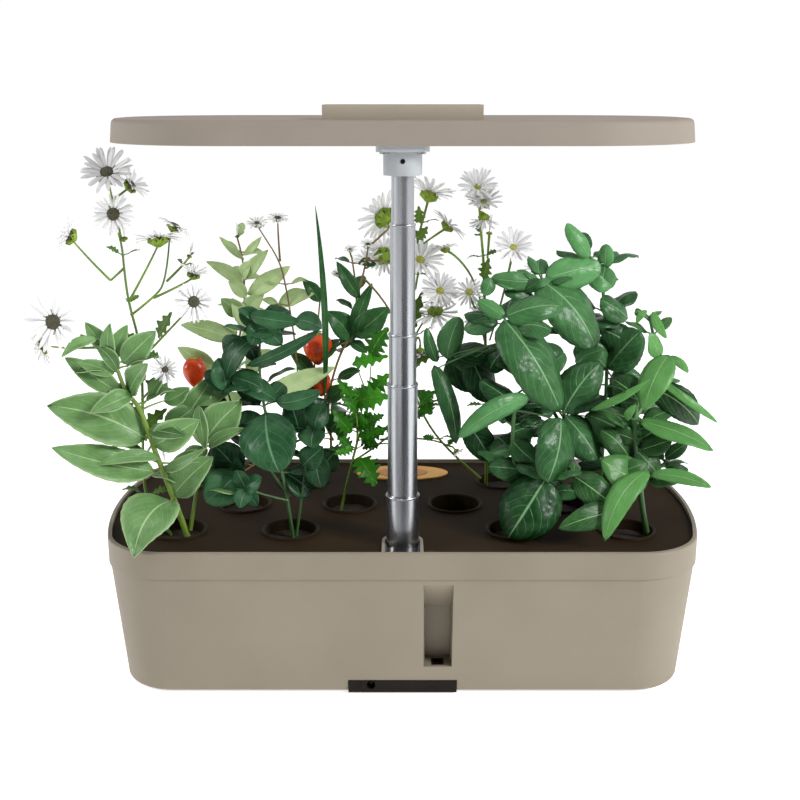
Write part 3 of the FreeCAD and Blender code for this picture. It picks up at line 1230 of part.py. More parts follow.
            ((-55, -33, 163), (-17, -49, 117), 38), ((-52, -29, 164), (-10, -19, 172), 22),
            ((-19, -19, 178), (-37, -19, 203), 12), ((-8, -17, 170), (-7, -17, 188), 11),
            ((-13, -17, 170), (-8, -23, 153), 18), ((-2, -19, 95), (19, -27, 125), 28),
            ((-57, -31, 163), (-92, -37, 166), 13), ((-60, -33, 149), (-82, -35, 156), 12),
            ((-2, -17, 94), (-28, -23, 114), 22), ((-7, -15, 81), (-26, -19, 75), 23),
            ((-1, -33, 90), (21, -39, 67), 24),
        ],
    },
    "basil_right": {
        "hole": 3, "stem_radius": 2.0,
        "stems": [
            [(13, 0, -4), (8, 1, 36), (4, 13, 76), (7, 17, 89)],
            [(4, 13, 76), (24, 29, 108), (16, 33, 141)],
            [(8, 1, 36), (19, 5, 42), (26, 7, 47)],
            [(8, 1, 36), (-14, -3, 41), (-38, -5, 41)],
        ],
        "leaves": [
            ((-40, -9, 43), (-11, -21, 23), 22), ((12, -1, 34), (-21, -9, 54), 28),
            ((-11, -19, 20), (-52, -33, 14), 18), ((10, -13, 48), (-22, -39, 7), 18),
            ((7, 9, 75), (56, -3, 59), 15), ((16, 23, 96), (67, 29, 68), 22),
            ((26, 7, 50), (42, 13, 59), 10), ((14, -3, 42), (56, -5, 33), 10),
            ((28, 25, 119), (8, 3, 85), 23), ((23, 29, 117), (14, 25, 135), 13),
            ((17, 33, 148), (26, 25, 131), 7), ((29, 27, 118), (43, 27, 106), 6),
            ((-26, 13, 83), (12, 7, 106), 6), ((8, 17, 89), (-10, 27, 102), 21),
            ((8, 7, 56), (31, 13, 62), 15),
            ((20, 25, 103), (64, 19, 72), 6),
        ],
    },
}


EMPTY_HOLE = 6
tank_shell()
rim_frame()
planting_deck()
mast_seat()
for number in range(1, 6):
    mast_tube(number)
for number in range(1, 5):
    tube_guide(number)
lamp_lead()
grow_baskets()
water_inlet()
timer_button()
lamp_collar()
lamp_head()
driver()
bottom_bay()
pump()
plants()

doc.recompute()
failed = [item.Name for item in doc.Objects if {"Invalid", "Error"} & set(item.State)]
if failed:
    raise RuntimeError("failed objects: " + ", ".join(failed))
for item in nodes:
    if item.Shape.isNull() or not item.Shape.isValid():
        raise RuntimeError("bad shape: " + item.Label)
    item.Shape.exportStep("parts/" + item.Label + ".step")
    print(item.Label, len(item.Shape.Solids), round(item.Shape.Volume, 1))
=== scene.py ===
import math
import random

import bmesh
import bpy
from mathutils import Matrix, Vector, noise
from mathutils.geometry import intersect_point_line


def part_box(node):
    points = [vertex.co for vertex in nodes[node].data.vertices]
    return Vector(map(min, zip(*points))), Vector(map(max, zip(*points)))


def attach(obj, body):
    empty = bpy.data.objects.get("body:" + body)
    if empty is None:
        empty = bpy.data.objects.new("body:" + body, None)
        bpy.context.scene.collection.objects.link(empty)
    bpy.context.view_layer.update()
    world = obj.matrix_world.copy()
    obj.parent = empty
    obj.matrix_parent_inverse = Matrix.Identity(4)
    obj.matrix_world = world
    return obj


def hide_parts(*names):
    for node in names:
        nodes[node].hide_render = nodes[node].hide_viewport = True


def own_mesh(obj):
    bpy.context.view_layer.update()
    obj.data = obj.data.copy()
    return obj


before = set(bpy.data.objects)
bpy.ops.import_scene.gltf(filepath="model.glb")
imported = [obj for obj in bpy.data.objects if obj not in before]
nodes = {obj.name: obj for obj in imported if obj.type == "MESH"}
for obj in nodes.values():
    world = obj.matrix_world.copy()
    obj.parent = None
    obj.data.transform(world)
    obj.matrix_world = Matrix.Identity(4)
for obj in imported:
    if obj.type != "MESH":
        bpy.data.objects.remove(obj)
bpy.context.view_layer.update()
MM = 0.001

# Tank and rim: the water tank and the band round its top, two mouldings in matt beige plastic.
# The shell has a drafted wall and a recess at the front; the band sits on it with a fine seam.


def linear(colour):
    """An sRGB hex colour as linear red, green, blue and alpha."""
    channels = [int(colour[at:at + 2], 16) / 255 for at in (0, 2, 4)]
    return tuple(c / 12.92 if c <= 0.04045 else ((c + 0.055) / 1.055) ** 2.4
                 for c in channels) + (1,)


def add(tree, kind, settings=(), links=()):
    """Add a shader node; each setting or link is named by an attribute or an input."""
    item = tree.nodes.new("ShaderNode" + kind)
    for name, value in dict(settings).items():
        if isinstance(name, str) and hasattr(item, name):
            setattr(item, name, value)
        else:
            item.inputs[name].default_value = value
    for name, source in dict(links).items():
        tree.links.new(source, item.inputs[name])
    return item


def start(name, roughness, **given):
    """A material with the constants of its shader set, and its tree, shader and coordinates."""
    material = bpy.data.materials.new(name)
    material.use_nodes = True
    tree = material.node_tree
    shader = tree.nodes["Principled BSDF"]
    shader.inputs["Roughness"].default_value = roughness
    for label, value in given.items():
        shader.inputs[label.replace("_", " ")].default_value = value
    return material, tree, shader, add(tree, "TexCoord").outputs["Object"]


def grained(name, low, high, roughness, patch, grain, depth, stretch=(1, 1, 1), **given):
    """A surface that drifts between two colours over a patch size, with a fine grain."""
    material, tree, shader, place = start(name, roughness, **given)
    spread = add(tree, "Mapping", {"Scale": stretch}, {"Vector": place})
    drift = add(tree, "TexNoise", {"Scale": 1 / (patch * MM), "Detail": 3},
                {"Vector": spread.outputs["Vector"]})
    span = add(tree, "MapRange", {"From Min": 0.3, "From Max": 0.7},
               {"Value": drift.outputs["Fac"]})
    colour = add(tree, "Mix", {"data_type": "RGBA", 6: linear(low), 7: linear(high)},
                 {0: span.outputs["Result"]})
    tree.links.new(colour.outputs[2], shader.inputs["Base Color"])
    fine = add(tree, "TexNoise", {"Scale": 1 / (grain * MM), "Detail": 2},
               {"Vector": spread.outputs["Vector"]})
    bump = add(tree, "Bump", {"Strength": 0.6, "Distance": depth * MM},
               {"Height": fine.outputs["Fac"]})
    tree.links.new(bump.outputs["Normal"], shader.inputs["Normal"])
    return material


def dress(material, *names):
    """Give the CAD nodes their finish."""
    for name in names:
        for held in nodes[name].material_slots:
            held.material = material


# Moulded ABS with a spark-eroded texture gives soft highlights. The grain is drawn coarser than
# the real one, so that it shows.
beige_abs = grained("beige_moulded_abs", "817869", "877E6F", 0.55, 60, 0.45, 0.03,
                    Specular_IOR_Level=0.35)
dress(beige_abs, "tank_shell", "rim_frame", "mast_seat")

# Bottom cover, jack and feet: the dark cover under the tank, whose tab shows at the table.
# Plain black polypropylene, with rubber feet pressed in and steel screws.
black_pp = grained("black_polypropylene", "120E0A", "1B1510", 0.5, 30, 0.4, 0.02,
                   Specular_IOR_Level=0.12)
rubber = grained("moulded_rubber", "141414", "1D1C1B", 0.8, 8, 0.5, 0.04)
steel_screw = grained("zinc_plated_steel", "8F9092", "B5B6B8", 0.32, 5, 0.3, 0.01, Metallic=1)
dress(black_pp, "bottom_cover", "power_jack", "accessory_socket", "timer_switch", "timer_button",
      "snap_button", "pump_body", "pump_cover")
dress(rubber, "rubber_feet", "pump_feet")
dress(steel_screw, "cover_screws", "lamp_screws", "lid_pin", "pump_shaft")

# Boards and clear parts: lacquered circuit boards, and white nylon where parts slide or turn.
# The lamp's board is white so that it throws the diodes' light down.
green_lacquer = grained("lacquered_circuit_board", "1F4A2E", "2A5E3A", 0.35, 4, 0.5, 0.02)
white_lacquer = grained("white_lacquered_board", "DFE0DC", "ECECE8", 0.4, 6, 0.5, 0.02)
white_nylon = grained("white_nylon", "D8D8D4", "E6E6E2", 0.42, 12, 0.4, 0.02)
dress(green_lacquer, "control_board", "driver_board")
dress(white_lacquer, "lamp_board")
dress(white_nylon, "pump_impeller", "pump_outlet", *("tube_guide_%d" % n for n in range(1, 5)))

# Planting deck and baskets: the dark brown lid of the tank, with the baskets that hang in it.
# Both are matt plastic with a fine leathery grain; the sponges in the baskets are open foam.
brown_deck = grained("brown_moulded_abs", "261B0E", "2D2113", 0.65, 40, 0.6, 0.05,
                    Specular_IOR_Level=0.05)
basket_pp = grained("dark_basket_polypropylene", "20170C", "281E11", 0.6, 20, 0.4, 0.02,
                   Specular_IOR_Level=0.08)
foam = grained("wet_growing_foam", "1A130D", "34281B", 0.85, 2.5, 1.1, 0.5)
dress(brown_deck, "planting_deck")
dress(basket_pp, "grow_baskets", "empty_basket", "inlet_strainer")
dress(foam, "grow_sponges")

# Mast seat's plate: a polished dark insert round the foot of the mast.
gloss_plate = grained("polished_dark_insert", "221D1B", "2A2523", 0.12, 30, 0.8, 0.004)
dress(gloss_plate, "mast_foot_plate")

# Water inlet: an oval bezel in gold-coloured lacquer and a copper-coloured lid, both on plastic.
# The lacquer holds a few metal flakes, so it is a quarter metallic and slightly uneven.
gold_lacquer = grained("gold_lacquer", "DB9C35", "EBB046", 0.36, 14, 0.3, 0.01, Metallic=0.25,
                       Specular_IOR_Level=0.25)
copper_lacquer = grained("copper_lacquer", "BE7420", "D08934", 0.38, 12, 0.3, 0.01,
                         Metallic=0.25, Specular_IOR_Level=0.25)
dress(gold_lacquer, "inlet_bezel")
dress(copper_lacquer, "inlet_lid")

# Mast: five polished steel tubes with rolled lips, each sliding in the next on a white bush.
# They are drawn lengthwise, so fine marks run upwards in bands of slightly softer mirroring.
streak_width = 1.2 * MM
streak_stretch = 50
drawn_steel, steel_tree, steel_shader, steel_place = start("polished_drawn_steel", 0.27,
                                                          Metallic=1)
steel_shader.inputs["Base Color"].default_value = linear("A9ABB0")
marks = add(steel_tree, "Mapping", {"Scale": (1, 1, 1 / streak_stretch)},
            {"Vector": steel_place})
streak = add(steel_tree, "TexNoise", {"Scale": 1 / streak_width, "Detail": 2},
             {"Vector": marks.outputs["Vector"]})
polish = add(steel_tree, "MapRange", {"From Min": 0.3, "From Max": 0.7, "To Min": 0.26,
                                      "To Max": 0.3}, {"Value": streak.outputs["Fac"]})
steel_tree.links.new(polish.outputs["Result"], steel_shader.inputs["Roughness"])
dress(drawn_steel, *("mast_tube_%d" % number for number in range(1, 6)))

# Lamp: a thin beige ABS shell with a cover on top over the driver, and an opal acrylic panel
# clipped in below it. The cover is drawn paler than the shell: painted light where the front
# light falls on its face. A pale grey collar carries it on the mast's thinnest tube.
# Both plastics are moulded smooth and matt; the diodes are yellow epoxy on the white board.
lamp_abs = grained("lamp_moulded_abs", "857C72", "8B8278", 0.6, 60, 0.45, 0.03,
                   Specular_IOR_Level=0.2)
# Same plastic as the shell, drawn paler as painted light on the cover's lit face.
lit_cover_abs = grained("cover_abs_painted_light", "9D9384", "A3998A", 0.6, 60, 0.45, 0.03,
                    Specular_IOR_Level=0.2)
collar_abs = grained("pale_collar_abs", "9A9EA1", "A1A5A8", 0.4, 30, 0.4, 0.02)
opal_acrylic = grained("opal_acrylic", "E6E8E6", "F0F1EF", 0.3, 50, 0.5, 0.004)
diode_epoxy = grained("yellow_diode_epoxy", "D9B64A", "E8C860", 0.25, 3, 0.3, 0.01)
dress(lamp_abs, "lamp_shell")
dress(lit_cover_abs, "driver_cover")
dress(collar_abs, "lamp_collar")
dress(opal_acrylic, "lamp_diffuser")
dress(diode_epoxy, "lamp_diodes")

# Lamp lead: the curly lead inside the mast, copper wire in a soft white sheath, wound on a
# mandrel. It hangs from the lamp to the tank's floor.
soft_sheath = grained("soft_white_sheath", "CFCFCA", "DEDEDA", 0.5, 10, 0.4, 0.02)


def keep_mesh(name, curve):
    """A curve made into a mesh piece that stays at the origin."""
    drawn = bpy.data.objects.new(name + "_line", curve)
    bpy.context.collection.objects.link(drawn)
    graph = bpy.context.evaluated_depsgraph_get()
    piece = bpy.data.objects.new(name, bpy.data.meshes.new_from_object(drawn.evaluated_get(graph)))
    bpy.data.objects.remove(drawn)
    bpy.context.collection.objects.link(piece)
    piece.data.shade_smooth()
    return piece


def tube_curve(name, resolution):
    """An empty curve whose bevel is one metre at a point radius of one."""
    curve = bpy.data.curves.new(name, "CURVE")
    curve.dimensions = "3D"
    curve.bevel_depth = 1
    curve.bevel_resolution = resolution
    curve.use_fill_caps = True
    return curve


def run(curve, points, radii, kind="NURBS"):
    """One line of a tube through its points, with a radius at each."""
    spline = curve.splines.new(kind)
    spline.points.add(len(points) - 1)
    for held, point, radius in zip(spline.points, points, radii):
        held.co = (*point, 1)
        held.radius = radius
    if kind == "NURBS":
        spline.use_endpoint_u = True
        spline.order_u = 3
        spline.resolution_u = 4


lead_low, lead_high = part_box("lamp_lead")
lead_middle = (lead_low + lead_high) / 2
lead_wire = 0.8 * MM
lead_turn = (lead_high.x - lead_low.x) / 2 - lead_wire
lead_end = 12 * MM
lead_curls = 96
curl_steps = 12
lead_points = [Vector((lead_middle.x, lead_middle.y, lead_low.z))]
for step in range(lead_curls * curl_steps + 1):
    turn = 2 * math.pi * step / curl_steps
    share = step / (lead_curls * curl_steps)
    lead_points.append(Vector((lead_middle.x + lead_turn * math.cos(turn),
                               lead_middle.y + lead_turn * math.sin(turn),
                               lead_low.z + lead_end
                               + share * (lead_high.z - lead_low.z - 2 * lead_end))))
lead_points.append(Vector((lead_middle.x, lead_middle.y, lead_high.z)))
lead_curve = tube_curve("lead_route", 1)
run(lead_curve, lead_points, [lead_wire] * len(lead_points), "POLY")
curly_lead = keep_mesh("curly_lead", lead_curve)
curly_lead.data.materials.append(soft_sheath)
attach(curly_lead, "base")
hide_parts("lamp_lead")
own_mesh(curly_lead)

# Plants: eleven young herbs and flowers, living and soft, each rooted in the sponge of a basket.

# Points are in millimetres from the basket's mouth. A stem is a line of points; a leaf is its
# base, its tip, its width and its shade: how pale it is, partly the leaf's own tone and partly
# painted shade and light, low for leaves deep in the bush and high for some lit ones. Pairs of
# leaves fill a stem: which stem, from and to what share of it, how many pairs, and the leaves'
# length, width and shade, also part tone and part painted shade. A flower head is its middle,
# radius and facing.
hole_pitch = 77.9 * MM
row_pitch = 53 * MM
deck_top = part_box("planting_deck")[1].z
front = Vector((0, -0.9, 0.45))
plants = {
    "lance_plant": {
        "basket": (-2, -1),
        "stems": [
            [(7, 0, -8), (-2, -2, 25), (-9, -4, 48), (-13, -5, 61), (-21, -2, 89), (-31, 1, 98),
             (-36, 3, 113), (-40, 5, 124)],
            [(8, 0, 0), (15, 1, 36), (22, 3, 65)],
        ],
        "leaves": [
            ((-14, -4, 44), (-78, -19, 66), 23, 0.55), ((-9, -7, 55), (-48, -24, 55), 9, 0.55),
            ((-19, -2, 67), (-82, -9, 92), 31, 0.55), ((-34, 3, 96), (-73, 9, 121), 14, 0.55),
            ((-26, -3, 98), (-50, -21, 90), 13, 0.55), ((-39, 6, 125), (-58, 11, 145), 11, 0.55),
            ((-39, 4, 111), (-62, -3, 121), 10, 0.55), ((-40, 6, 121), (-39, 3, 146), 10, 0.55),
            ((-40, 6, 120), (-30, 13, 143), 11, 0.55), ((-29, 3, 98), (-14, -5, 120), 18, 0.55),
            ((-33, 5, 118), (-11, 11, 139), 17, 0.55), ((-13, -5, 63), (20, -11, 83), 20, 0.55),
            ((-2, -2, 27), (27, -7, 56), 21, 0.55), ((-6, -4, 45), (24, -15, 64), 8, 0.55),
            ((22, 3, 66), (46, 7, 91), 24, 0.55), ((23, 3, 59), (51, -5, 75), 8, 0.55),
            ((-3, -7, 24), (-20, -51, 0), 34, 0.55), ((-49, 5, 135), (-73, 1, 123), 9, 0.75),
            ((-7, 9, 90), (10, 13, 99), 12, 0.45), ((-7, 7, 75), (14, 13, 87), 15, 0.4),
            ((-15, 3, 94), (-5, 7, 110), 9, 0.4), ((18, -1, 90), (22, -5, 60), 10, 0.5),
            ((-36, 3, 113), (-50, 3, 131), 9, 0.3), ((-1, 13, 69), (25, 23, 106), 18, 0.35),
            ((9, 15, 88), (42, 23, 102), 15, 0.75), ((22, 5, 57), (4, 1, 41), 17, 0.3),
            ((-15, -5, 74), (11, -13, 72), 11, 0.2),
        ],
        "pairs": [
            (0, 0.3, 0.95, 6, 30, 16, 0.25), (1, 0.4, 1, 2, 28, 16, 0.35),
        ],
    },
    "daisy_left": {
        "basket": (-2, -1),
        "stems": [
            [(-6, 5, -6), (-22, 11, 14), (-26, 13, 34), (-23, 15, 90), (-23, 17, 129),
             (-30, 19, 157), (-32, 21, 180), (-33, 23, 199), (-38, 23, 215)],
            [(-30, 19, 157), (-17, 23, 179), (-9, 25, 195)],
            [(-29, 19, 148), (-14, 25, 159), (-5, 27, 170), (-2, 29, 198)],
            [(-5, 27, 170), (9, 29, 183), (11, 29, 187)],
            [(-41, 19, 172), (-53, 17, 185), (-65, 15, 201)],
            [(-32, 21, 180), (-41, 19, 172)],
            [(-33, 23, 199), (-39, 29, 225), (-41, 29, 239)],
            [(-38, 27, 225), (-26, 31, 234)],
            [(-23, 17, 129), (-51, 9, 128), (-77, 3, 147)],
            [(-51, 9, 128), (-76, 11, 126), (-88, 13, 129)],
            [(-23, 16, 118), (-1, 11, 140), (17, 7, 159)],
            [(-14, 25, 159), (4, 25, 167), (14, 25, 173)],
            [(-24, 15, 90), (-12, 9, 102), (-5, 5, 113)],
            [(-25, 13, 47), (-11, 7, 72), (-2, 5, 73)],
        ],
        "leaves": [
            ((-24, 15, 75), (-37, 9, 91), 8, 0.5), ((-25, 15, 61), (-7, 7, 74), 8, 0.5),
            ((-23, 17, 129), (-37, 13, 139), 7, 0.5), ((-10, 13, 134), (1, 11, 152), 11, 0.3),
            ((-20, 13, 104), (-2, 13, 96), 10, 0.35), ((-24, 13, 69), (-7, 17, 83), 10, 0.4),
        ],
        "pairs": [
            (0, 0.15, 0.75, 5, 13, 6, 0.4), (3, 0.3, 0.9, 2, 8, 3, 0.5),
        ],
        "heads": [
            ((-41, 29, 242), 21, (0, -0.75, 0.65)), ((-27, 33, 234), 14, (0.8, -0.2, 0.5)),
            ((-37, 22, 216), 15, (0, -1, 0.2)), ((-65, 15, 202), 15, (-0.8, -0.3, 0.45)),
            ((-9, 25, 199), 18, (-0.1, 0.25, 0.95)), ((2, 29, 207), 14, (0.5, 0.1, 0.85)),
            ((-76, 2, 147), 22, (-0.1, -1, 0.15)), ((-89, 15, 128), 16, (-0.85, -0.1, -0.3)),
            ((17, 5, 160), 16, (0.1, -1, 0.15)), ((14, 25, 175), 12, (0.3, -0.1, 0.9)),
            ((-4, 4, 114), 11, (0, -1, 0.15)), ((-31, 23, 200), 4, (0, 0, 1)),
            ((11, 29, 187), 3, (0.3, 0, 1)), ((-2, 5, 73), 4, (0.2, -0.2, -1)),
            ((-10, 7, 59), 3, (0.2, -0.2, -1)),
        ],
    },
    "round_leaf_plant": {
        "basket": (-1, -1),
        "stems": [
            [(2, 0, -8), (-1, -1, 18), (-4, 1, 37), (-11, 3, 65), (-18, 7, 92), (-20, 11, 126),
             (-17, 11, 143)],
            [(4, 0, -4), (8, 1, 22), (11, 3, 46), (17, 5, 72)],
            [(0, -1, 25), (-19, 7, 49), (-35, 15, 68), (-42, 13, 96)],
            [(-1, -1, 22), (-18, -7, 28), (-29, -9, 34)],
        ],
        "leaves": [
            ((-15, 3, 84), (-5, -15, 47), 31, 0.2), ((18, 5, 72), (16, -3, 61), 15, 0.2),
            ((18, 5, 72), (25, 7, 89), 16, 0.2), ((9, 3, 46), (24, -1, 61), 14, 0.2),
            ((-57, 21, 53), (-32, 13, 32), 18, 0.2), ((-42, 13, 104), (-19, 13, 135), 15, 0.2),
            ((-25, 11, 150), (10, 5, 146), 10, 0.2), ((-17, 11, 143), (-24, 3, 131), 12, 0.2),
            ((-17, 11, 143), (-3, 3, 131), 12, 0.2), ((-17, 11, 143), (2, 17, 151), 11, 0.2),
            ((-17, 11, 143), (-32, 17, 152), 11, 0.2), ((6, 7, 147), (24, 3, 142), 13, 0.2),
            ((-28, 11, 115), (22, 9, 140), 7, 0.2), ((-32, 13, 101), (-8, 5, 92), 14, 0.2),
            ((-8, 7, 90), (23, 3, 99), 10, 0.2), ((-43, 13, 97), (-48, 17, 119), 15, 0.2),
            ((-29, -9, 34), (-35, -9, 47), 11, 0.2), ((-29, -9, 34), (-17, -13, 43), 11, 0.2),
            ((-29, -9, 33), (-32, -19, 23), 10, 0.2), ((-29, -9, 33), (-20, -17, 24), 8, 0.2),
            ((-1, 11, 142), (-29, 9, 139), 12, 0.2), ((-39, 13, 106), (-14, 9, 97), 12, 0.1),
            ((-36, 3, 40), (-57, -7, 23), 22, 0.45), ((18, 5, 55), (22, 3, 30), 15, 0.05),
            ((-4, 7, 40), (13, 13, 22), 18, 0.05), ((-42, 15, 95), (-58, 19, 109), 12, 0.3),
            ((7, 9, 68), (0, 11, 92), 14, 0.05), ((-35, 13, 69), (-20, 17, 78), 14, 0.2),
            ((-26, 15, 125), (-45, 19, 132), 14, 0.2), ((-36, 13, 37), (-54, 17, 57), 21, 0.1),
            ((-19, 15, 90), (-37, 23, 108), 17, 0.1), ((-14, 17, 68), (-32, 23, 53), 17, 0.05),
        ],
        "pairs": [
            (0, 0.35, 1, 9, 26, 18, 0.12), (2, 0.35, 1, 4, 22, 15, 0.05),
            (1, 0.5, 1, 2, 18, 12, 0.1),
        ],
    },
    "pale_plant": {
        "basket": (-2, 1),
        "stems": [
            [(1, 0, -3), (11, -7, 36), (26, -9, 84), (32, -11, 111), (38, -13, 134),
             (39, -13, 153), (39, -13, 177), (35, -13, 192)],
            [(78, -19, 39), (78, -19, 92), (76, -21, 118), (71, -23, 156), (67, -23, 176),
             (54, -23, 197), (51, -23, 202)],
            [(67, -23, 176), (66, -23, 191), (66, -23, 204)],
            [(22, -3, 2), (54, -11, 25), (78, -19, 39)],
        ],
        "leaves": [
            ((39, -13, 155), (12, -17, 175), 10, 0.75),
            ((39, -13, 161), (46, -17, 176), 10, 0.75),
            ((39, -13, 161), (58, -19, 184), 10, 0.75),
            ((41, -13, 150), (74, -19, 172), 14, 0.75),
            ((40, -13, 148), (28, -19, 161), 10, 0.75),
            ((38, -13, 135), (54, -19, 151), 13, 0.75),
            ((37, -13, 134), (22, -19, 148), 13, 0.3), ((39, -13, 176), (22, -15, 193), 6, 0.75),
            ((39, -13, 179), (53, -15, 193), 6, 0.75),
            ((64, -15, 142), (91, -21, 152), 13, 0.75),
            ((33, -11, 114), (-9, -17, 128), 15, 0.5), ((38, -11, 91), (59, -17, 109), 15, 0.45),
            ((51, -13, 75), (106, -25, 98), 18, 0.85), ((64, -15, 142), (52, -17, 147), 6, 0.75),
            ((15, -11, 94), (-12, -17, 111), 14, 0.65), ((23, -9, 80), (7, -13, 100), 14, 0.4),
            ((11, -7, 36), (-6, -13, 49), 15, 0.3), ((18, -9, 60), (40, -15, 71), 17, 0.45),
            ((42, -15, 124), (30, -17, 148), 13, 0.9),
        ],
        "pairs": [
            (0, 0.3, 1, 6, 20, 9, 0.7), (1, 0.4, 0.8, 2, 18, 7, 0.6),
            (3, 0.2, 0.9, 3, 26, 11, 0.4),
        ],
        "heads": [
            ((51, -23, 203), 9, (0, -0.5, 0.9)), ((66, -23, 207), 9, (0.1, -0.4, 0.9)),
            ((35, -13, 193), 3, (0, 0, 1)),
        ],
    },
    "pepper_plant": {
        "basket": (-1, 1),
        "stems": [
            [(4, 0, -3), (13, -3, 2), (25, -9, 27), (20, -13, 68), (31, -15, 106),
             (40, -17, 119), (46, -19, 148), (41, -21, 179)],
            [(25, -9, 36), (16, -11, 53), (10, -13, 86), (17, -15, 145), (20, -17, 175)],
            [(46, -19, 148), (36, -19, 160), (30, -19, 165)],
            [(46, -19, 154), (51, -21, 171), (53, -23, 186)],
            [(50, -21, 163), (69, -23, 145), (79, -23, 118)],
        ],
        "leaves": [
            ((46, -19, 148), (30, -23, 176), 9, 0.3), ((39, -17, 117), (22, -23, 139), 15, 0.3),
            ((40, -17, 120), (56, -21, 160), 9, 0.3), ((42, -19, 120), (68, -27, 143), 16, 0.3),
            ((19, -17, 70), (15, -19, 216), 4, 0.3), ((17, -15, 145), (5, -19, 162), 9, 0.3),
            ((10, -13, 86), (-6, -17, 107), 11, 0.3), ((20, -13, 68), (37, -19, 82), 11, 0.3),
            ((45, -19, 121), (51, -27, 139), 7, 0.3), ((39, -17, 115), (52, -23, 108), 7, 0.2),
            ((9, -15, 70), (-2, -19, 88), 14, 0.1), ((22, -11, 45), (35, -15, 60), 15, 0.2),
            ((16, -9, 36), (0, -15, 54), 17, 0.1), ((27, -13, 29), (12, -19, 15), 17, 0.1),
            ((15, -19, 102), (32, -23, 118), 12, 0.2), ((20, -19, 71), (5, -25, 54), 17, 0.05),
        ],
        "pairs": [
            (0, 0.3, 0.95, 9, 24, 15, 0.12), (1, 0.2, 0.6, 2, 20, 12, 0.1),
            (4, 0.4, 0.9, 2, 16, 9, 0.2),
        ],
        "heads": [
            ((40, -21, 184), 6, (0, -0.4, 0.9)), ((53, -23, 188), 7, (0.1, -0.4, 0.9)),
            ((30, -19, 166), 5, (0, -0.5, 0.9)), ((65, -7, 206), 22, (-0.45, 0.75, 0.35)),
            ((64, -9, 178), 18, (0.1, 0.85, 0.25)), ((52, -13, 175), 13, (-0.2, -0.3, 0.95)),
        ],
    },
    "cut_leaf_plant": {
        "basket": (-0.5, 0),
        "stems": [
            [(-7, 0, -7), (2, -4, 34), (7, -6, 51), (6, -8, 70), (5, -8, 79)],
            [(2, -4, 34), (10, -2, 61), (15, 0, 81)],
            [(2, -4, 34), (30, -2, 50), (55, 2, 78)],
            [(23, -4, 51), (58, -25, 61), (72, -27, 53)],
        ],
        "leaves": [
            ((5, -8, 80), (29, -14, 86), 16, 0.6), ((5, -8, 80), (-7, -12, 98), 9, 0.6),
            ((7, -6, 54), (26, -12, 61), 7, 0.6), ((3, -5, 45), (-10, -12, 42), 7, 0.6),
            ((6, -5, 37), (19, -16, 19), 16, 0.6), ((15, 0, 83), (29, -4, 100), 13, 0.6),
            ((55, 2, 78), (60, -4, 70), 13, 0.6), ((52, 2, 76), (63, 0, 86), 10, 0.6),
            ((5, -6, 63), (17, -10, 73), 9, 0.6), ((16, -2, 113), (29, -4, 134), 13, 0.3),
            ((3, 0, 106), (29, -4, 113), 9, 0.8), ((2, -6, 57), (-11, -12, 75), 12, 0.3),
            ((5, -6, 61), (23, -12, 70), 12, 0.35), ((1, -4, 45), (-9, -8, 58), 9, 0.25),
            ((10, -4, 49), (29, -8, 61), 10, 0.3), ((7, -8, 73), (-4, -14, 85), 10, 0.4),
        ],
        "pairs": [
            (0, 0.35, 1, 4, 20, 14, 0.35), (1, 0.5, 1, 2, 16, 12, 0.5),
            (2, 0.3, 1, 4, 18, 13, 0.3), (3, 0.5, 1, 2, 12, 8, 0.5),
        ],
        "heads": [
            ((77, -29, 50), 6, (0.6, -0.3, -0.7)),
        ],
    },
    "daisy_right": {
        "basket": (1, 1),
        "stems": [
            [(-12, 0, -6), (-12, -3, 21), (-14, -5, 83), (-17, -7, 160), (-18, -7, 177),
             (-20, -7, 195), (-21, -7, 210), (-23, -7, 222)],
            [(-46, -1, 181), (-40, -1, 180), (-22, -3, 158), (-16, -5, 131)],
            [(-16, 0, 2), (-39, 5, 20), (-61, 7, 48), (-71, 5, 80), (-69, 3, 108), (-67, 1, 120),
             (-53, -3, 139), (-50, -5, 149)],
            [(-58, 7, 220), (-63, 5, 201), (-67, 3, 188), (-70, 3, 158), (-69, 3, 108)],
            [(-44, 9, 197), (-51, 7, 193), (-66, 3, 183)],
            [(-14, -9, 193), (-15, -8, 176)],
            [(3, -13, 181), (-1, -11, 153), (-12, -7, 114)],
            [(-69, 3, 108), (-65, 5, 120), (-64, 5, 108)],
            [(-65, -3, 171), (-68, 3, 151)],
            [(-28, -11, 149), (-20, -7, 130)],
            [(-21, -13, 137), (-16, -7, 114)],
        ],
        "leaves": [
            ((-17, -7, 160), (-14, -13, 177), 9, 0.5), ((-67, 4, 201), (-66, -1, 214), 7, 0.5),
            ((-66, 3, 188), (-59, -3, 199), 7, 0.5), ((-71, 3, 118), (-62, -5, 152), 9, 0.5),
            ((-70, 5, 64), (-81, -1, 82), 12, 0.5), ((-69, 3, 93), (-49, -5, 105), 8, 0.5),
        ],
        "pairs": [
            (0, 0.2, 0.85, 5, 14, 6, 0.4), (2, 0.3, 0.9, 5, 16, 7, 0.45),
            (3, 0.2, 0.9, 4, 12, 5, 0.5),
        ],
        "heads": [
            ((-58, 7, 221), 22, (0.3, 0.35, 0.85)), ((-44, 9, 198), 17, (0.65, 0.1, 0.7)),
            ((-46, -1, 182), 12, (-0.1, 0.2, 0.95)), ((-65, -3, 173), 22, (0.15, -0.65, 0.7)),
            ((-50, -6, 151), 17, (0.1, -0.85, 0.45)), ((-53, -1, 135), 19, (0.1, 0.4, -0.85)),
            ((-64, 5, 102), 16, (0.1, -0.15, -1)), ((-23, -7, 227), 17, (0, -0.7, 0.7)),
            ((-19, -13, 217), 16, (0.05, -0.55, 0.8)), ((-18, -6, 206), 14, (0, 0.2, -0.9)),
            ((-14, -9, 195), 4, (0.1, 0, 1)), ((3, -13, 184), 18, (0.1, -0.8, 0.6)),
            ((21, -5, 167), 10, (0, -0.3, 0.9)), ((-28, -11, 151), 13, (-0.2, -0.8, 0.5)),
